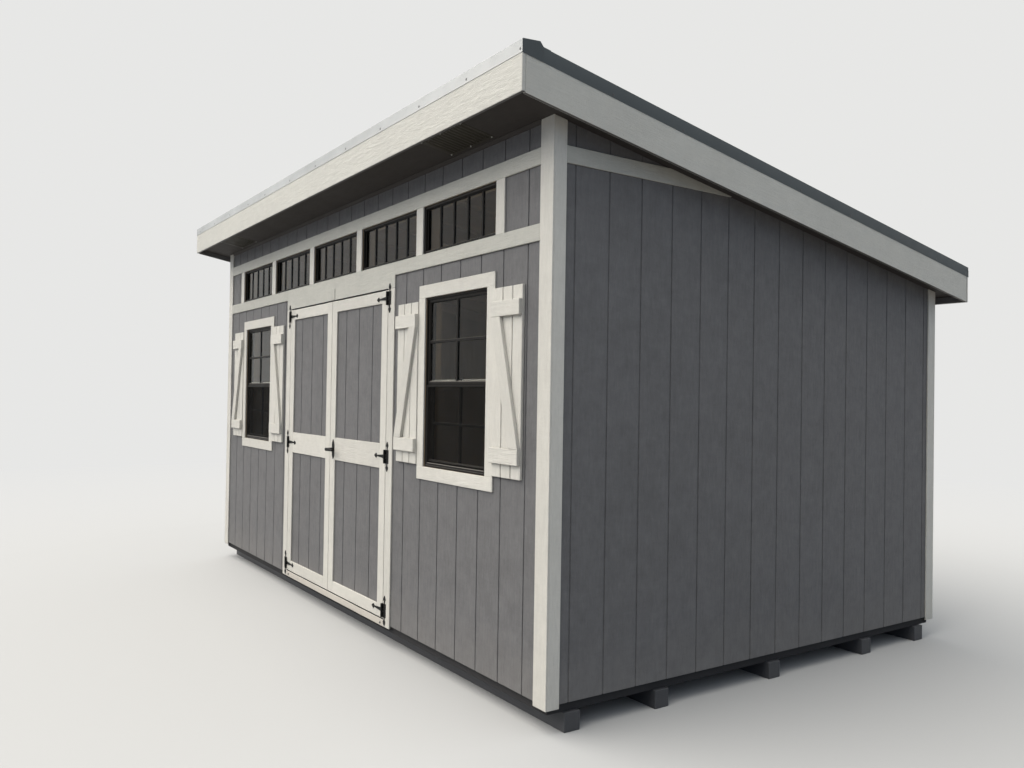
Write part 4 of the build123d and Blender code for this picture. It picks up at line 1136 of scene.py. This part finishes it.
# %% Screens, sills and catches
FRAME_RIM, SCREEN_RIM, SCREEN_T, SCREEN_UNDER = 12 * MM, 13 * MM, 6 * MM, 16 * MM
RIM_PROFILE = [(0, 0), (SCREEN_RIM - 3 * MM, 0), (SCREEN_RIM, 3 * MM), (SCREEN_RIM, SCREEN_T), (0, SCREEN_T)]
SILL_STEPS = np.array([(9, 0), (9, 6), (16, 12), (17, 22), (26, 30), (28, 30.5), (28, 0)]) * MM
WIRE, MESH = 0.28 * MM, 1.6 * MM
SASH_FOOT = 1.2             # a sash that starts below this is a lower one
lower_sashes = [extent(p) for p in solids("window_sashes") if p[:, 2].min() < SASH_FOOT]
head_z = min(high[2] for low, high in lower_sashes) - SCREEN_UNDER


def lattice(x0, x1, z0, z1, y):
    """Upright wires at every mesh width, and level wires just behind them."""
    xs, zs = np.arange(x0, x1, MESH), np.arange(z0, z1, MESH)
    return [rods(np.stack(np.broadcast_arrays(*low), -1), np.stack(np.broadcast_arrays(*high), -1))
            for low, high in (((xs, y, z0), (xs + WIRE, y + WIRE, z1)),
                              ((x0, y + WIRE, zs), (x1, y + 2 * WIRE, zs + WIRE)))]


rims, cloths, sills, rail_highlights = [], [], [], []
for low, high in map(extent, solids("window_frames")):
    x0, x1, foot_z, y = low[0] + FRAME_RIM, high[0] - FRAME_RIM, low[2] + FRAME_RIM, low[1] + 1 * MM
    rims.append(framed((x0, y, foot_z), (x1, y, head_z), RIM_PROFILE))
    cloths += lattice(x0 + SCREEN_RIM, x1 - SCREEN_RIM, foot_z + SCREEN_RIM, head_z - SCREEN_RIM,
                      y + SCREEN_T / 2)
    sills.append(strip(SILL_STEPS + [low[1], foot_z], (x0, x1)))
    sash_low, sash_high = next((a, b) for a, b in lower_sashes if x0 < (a[0] + b[0]) / 2 < x1)
    lip_y, lip_z, mid_x = sash_low[1] + 3 * MM, sash_high[2], (x0 + x1) / 2
    rail_highlights.append(plank((x0 + 2 * MM, lip_y, lip_z), (x1 - 2 * MM, lip_y + 12 * MM, lip_z + 12 * MM)))
    rims.append(plank((mid_x - 26 * MM, lip_y - 2 * MM, lip_z),
                      (mid_x + 26 * MM, lip_y + 13 * MM, lip_z + 18 * MM), ease=3 * MM))
make_piece("screen_rims_and_catches", rims, "shed", [window_vinyl])
make_piece("insect_screens", cloths, "shed", [window_vinyl])
make_piece("window_sills", sills, "shed", [window_vinyl])
make_piece("meeting_rail_highlights", rail_highlights, "shed", [rail_highlight_vinyl])

# %% [markdown]
# The soffit vents are pressed from thin sheet: beside each slot the metal is pushed down in a long hood,
# closed at its ends and open on the side away from the middle of the roof's edge. The CAD plate with its
# slots stays, and each hood is a thin curved profile carried over a slot, flattened where it meets the
# plate.

# %% Vent hoods
HOOD = np.array([(11, 0.1), (7, 2.7), (3, 4.8), (-2, 5.6), (-7, 5.6), (-11, 4.8)]) * MM
HOOD_T, HOOD_IN = 0.9 * MM, 13 * MM
hood_profile = np.vstack([HOOD, np.stack([HOOD[:, 0], np.maximum(HOOD[:, 1] - HOOD_T, 0.05 * MM)], -1)[::-1]])
hood_swell = np.array([0.05, 0.8, 1.0, 1.0, 0.8, 0.05])[:, None]


def hood(fin_x, y0, y1, under):
    """Across the slot the drop follows the profile; along it the drop is scaled to nothing at both ends."""
    spots = np.empty((len(hood_swell), len(hood_profile), 3))
    spots[..., 0] = fin_x + hood_profile[:, 0]
    spots[..., 1] = np.array([y0, y0 + 4 * MM, y0 + 9 * MM, y1 - 9 * MM, y1 - 4 * MM, y1])[:, None]
    spots[..., 2] = under(spots[..., 1]) - hood_profile[:, 1] * hood_swell
    return carried(spots)


hoods = [hood(fin_x, points[:, 1].min() + HOOD_IN, points[:, 1].max() - HOOD_IN,
              slope_line(points, high=False))
         for points in solids("soffit_vents") for fin_x in levels(points, 0)[1:-1].reshape(-1, 3)[:, 2]]
make_piece("vent_hoods", hoods, "shed", [vent_metal], smooth=40)

# %% [markdown]
# CAD nodes that already have the right shape stay, and get a finish of their own. Their meshes are loose
# triangles, so a Weld modifier joins them before a Bevel rounds the edges a little.

# %% CAD nodes that stay
def finish_node(node, material, bevel):
    """Gives a CAD node its material, and rounds its edges where a width is given."""
    thing = frame["nodes"][node]
    thing.data.materials.clear()
    thing.data.materials.append(material)
    if bevel:
        thing.modifiers.new("weld", "WELD").merge_threshold = SAME
        round_off = thing.modifiers.new("round_off", "BEVEL")
        round_off.width, round_off.segments = bevel, 2
        round_off.limit_method, round_off.angle_limit = "ANGLE", radians(40)


NODE_LOOKS = (
    (skid_shade_wood, 3, "skids"), (rim_paint, 1.5, "floor_long_rims", "floor_end_rims"),
    (rafter_wood, 0, "floor_joists"), (rafter_wood, 2, "rafters"), (vent_metal, 0, "soffit_vents"),
    (deck_wood, 0, "floor_deck", "roof_boards"), (soffit_paint, 0, "eave_soffits", "rake_soffits"),
    (window_vinyl, 1.5, "transom_frames", "window_sashes"), (window_vinyl, 2, "window_frames"),
    (window_glass, 0, "transom_glass", "window_glass"),
    (black_metal, 0.7, "hinge_jamb_plates", "left_hinge_straps", "right_hinge_straps"),
    (black_metal, 0.8, "handle_plate", "handle_lever"))
for material, bevel, *nodes in NODE_LOOKS:
    for node in nodes:
        finish_node(node, material, bevel * MM)
    print(material.name, "on", *nodes)

# %% [markdown]
# The stage is a wide pale disc under a pale sky. Near the shed it is a real floor that takes its shadow;
# towards the edge it turns into the background's own colour, for the eye, for reflections and through glass.
# Light that bounces off it is kept low, so that the soffits stay dark.

# %% Floor, sky and lamps
BACKGROUND = (0.80, 0.80, 0.79, 1)
FADE_FROM, FADE_TO = 4.5, 13.0


def seen_directly(tree):
    """1 for rays from the camera, off gloss or through glass, and 0 for light that lands on the object."""
    path = add(tree, "ShaderNodeLightPath").outputs
    either = Value(tree, path["Is Camera Ray"]).math("MAXIMUM", path["Is Glossy Ray"])
    return either.math("MAXIMUM", path["Is Transmission Ray"])


def floor_disc(radius=60.0, rings=24, spokes=96):
    """Radius grows with the square of the ring number, so that the rings are close near the shed."""
    r = radius * (np.arange(rings + 1)[:, None] / rings) ** 2
    angle = np.arange(spokes) * 2 * pi / spokes
    points = np.stack([r * np.cos(angle), r * np.sin(angle), 0 * r * angle], -1)
    mesh = bpy.data.meshes.new("floor")
    mesh.from_pydata(points.reshape(-1, 3).tolist(), [], ring_faces(rings + 1, spokes)[0].tolist())
    closed_up(mesh)
    return placed("floor", mesh)


floor_look, tree, shader = new_material("studio_floor")
seen = seen_directly(tree)
feed(tree, shader.inputs, {"Base Color": blend(tree, seen, (0.22, 0.215, 0.21, 1), (0.41, 0.41, 0.405, 1)),
                           "Roughness": 0.9, "Specular IOR Level": 0.1})
reach = add(tree, "ShaderNodeVectorMath", {0: object_place(tree)}, operation="LENGTH").outputs["Value"]
fade = Value(tree, reach).spread(FADE_FROM, FADE_TO)
glow = add(tree, "ShaderNodeEmission", {"Color": BACKGROUND, "Strength": 1.0}).outputs[0]
mixed = add(tree, "ShaderNodeMixShader", {0: fade * seen, 1: shader.outputs[0], 2: glow})
feed(tree, tree.nodes["Material Output"].inputs, {"Surface": mixed.outputs[0]})
floor = floor_disc()
floor.data.materials.append(floor_look)

world = bpy.data.worlds.new("studio")
bpy.context.scene.world = world
world.use_nodes = True
tree = world.node_tree
tree.nodes.clear()
towards = height_of(tree, add(tree, "ShaderNodeTexCoord").outputs["Generated"])
dome = blend(tree, towards.spread(0.0, 0.9), (0.19, 0.33, 0.54, 1), (0.92, 0.93, 0.92, 1))
sky, back = (add(tree, "ShaderNodeBackground", {"Color": colour, "Strength": 1.0}).outputs[0]
             for colour in (dome, BACKGROUND))
mixed = add(tree, "ShaderNodeMixShader", {0: seen_directly(tree), 1: sky, 2: back})
add(tree, "ShaderNodeOutputWorld", {"Surface": mixed.outputs[0]})

key = placed("key", bpy.data.lights.new("key", "SUN"))
key.data.energy, key.data.color, key.data.angle = 5.0, (1.0, 0.95, 0.88), radians(80)
key.matrix_world = Vector((-0.38, -0.60, 0.95)).to_track_quat("Z", "Y").to_matrix().to_4x4()
bpy.context.scene.view_settings.view_transform = "Standard"
print("stage and lamps set")
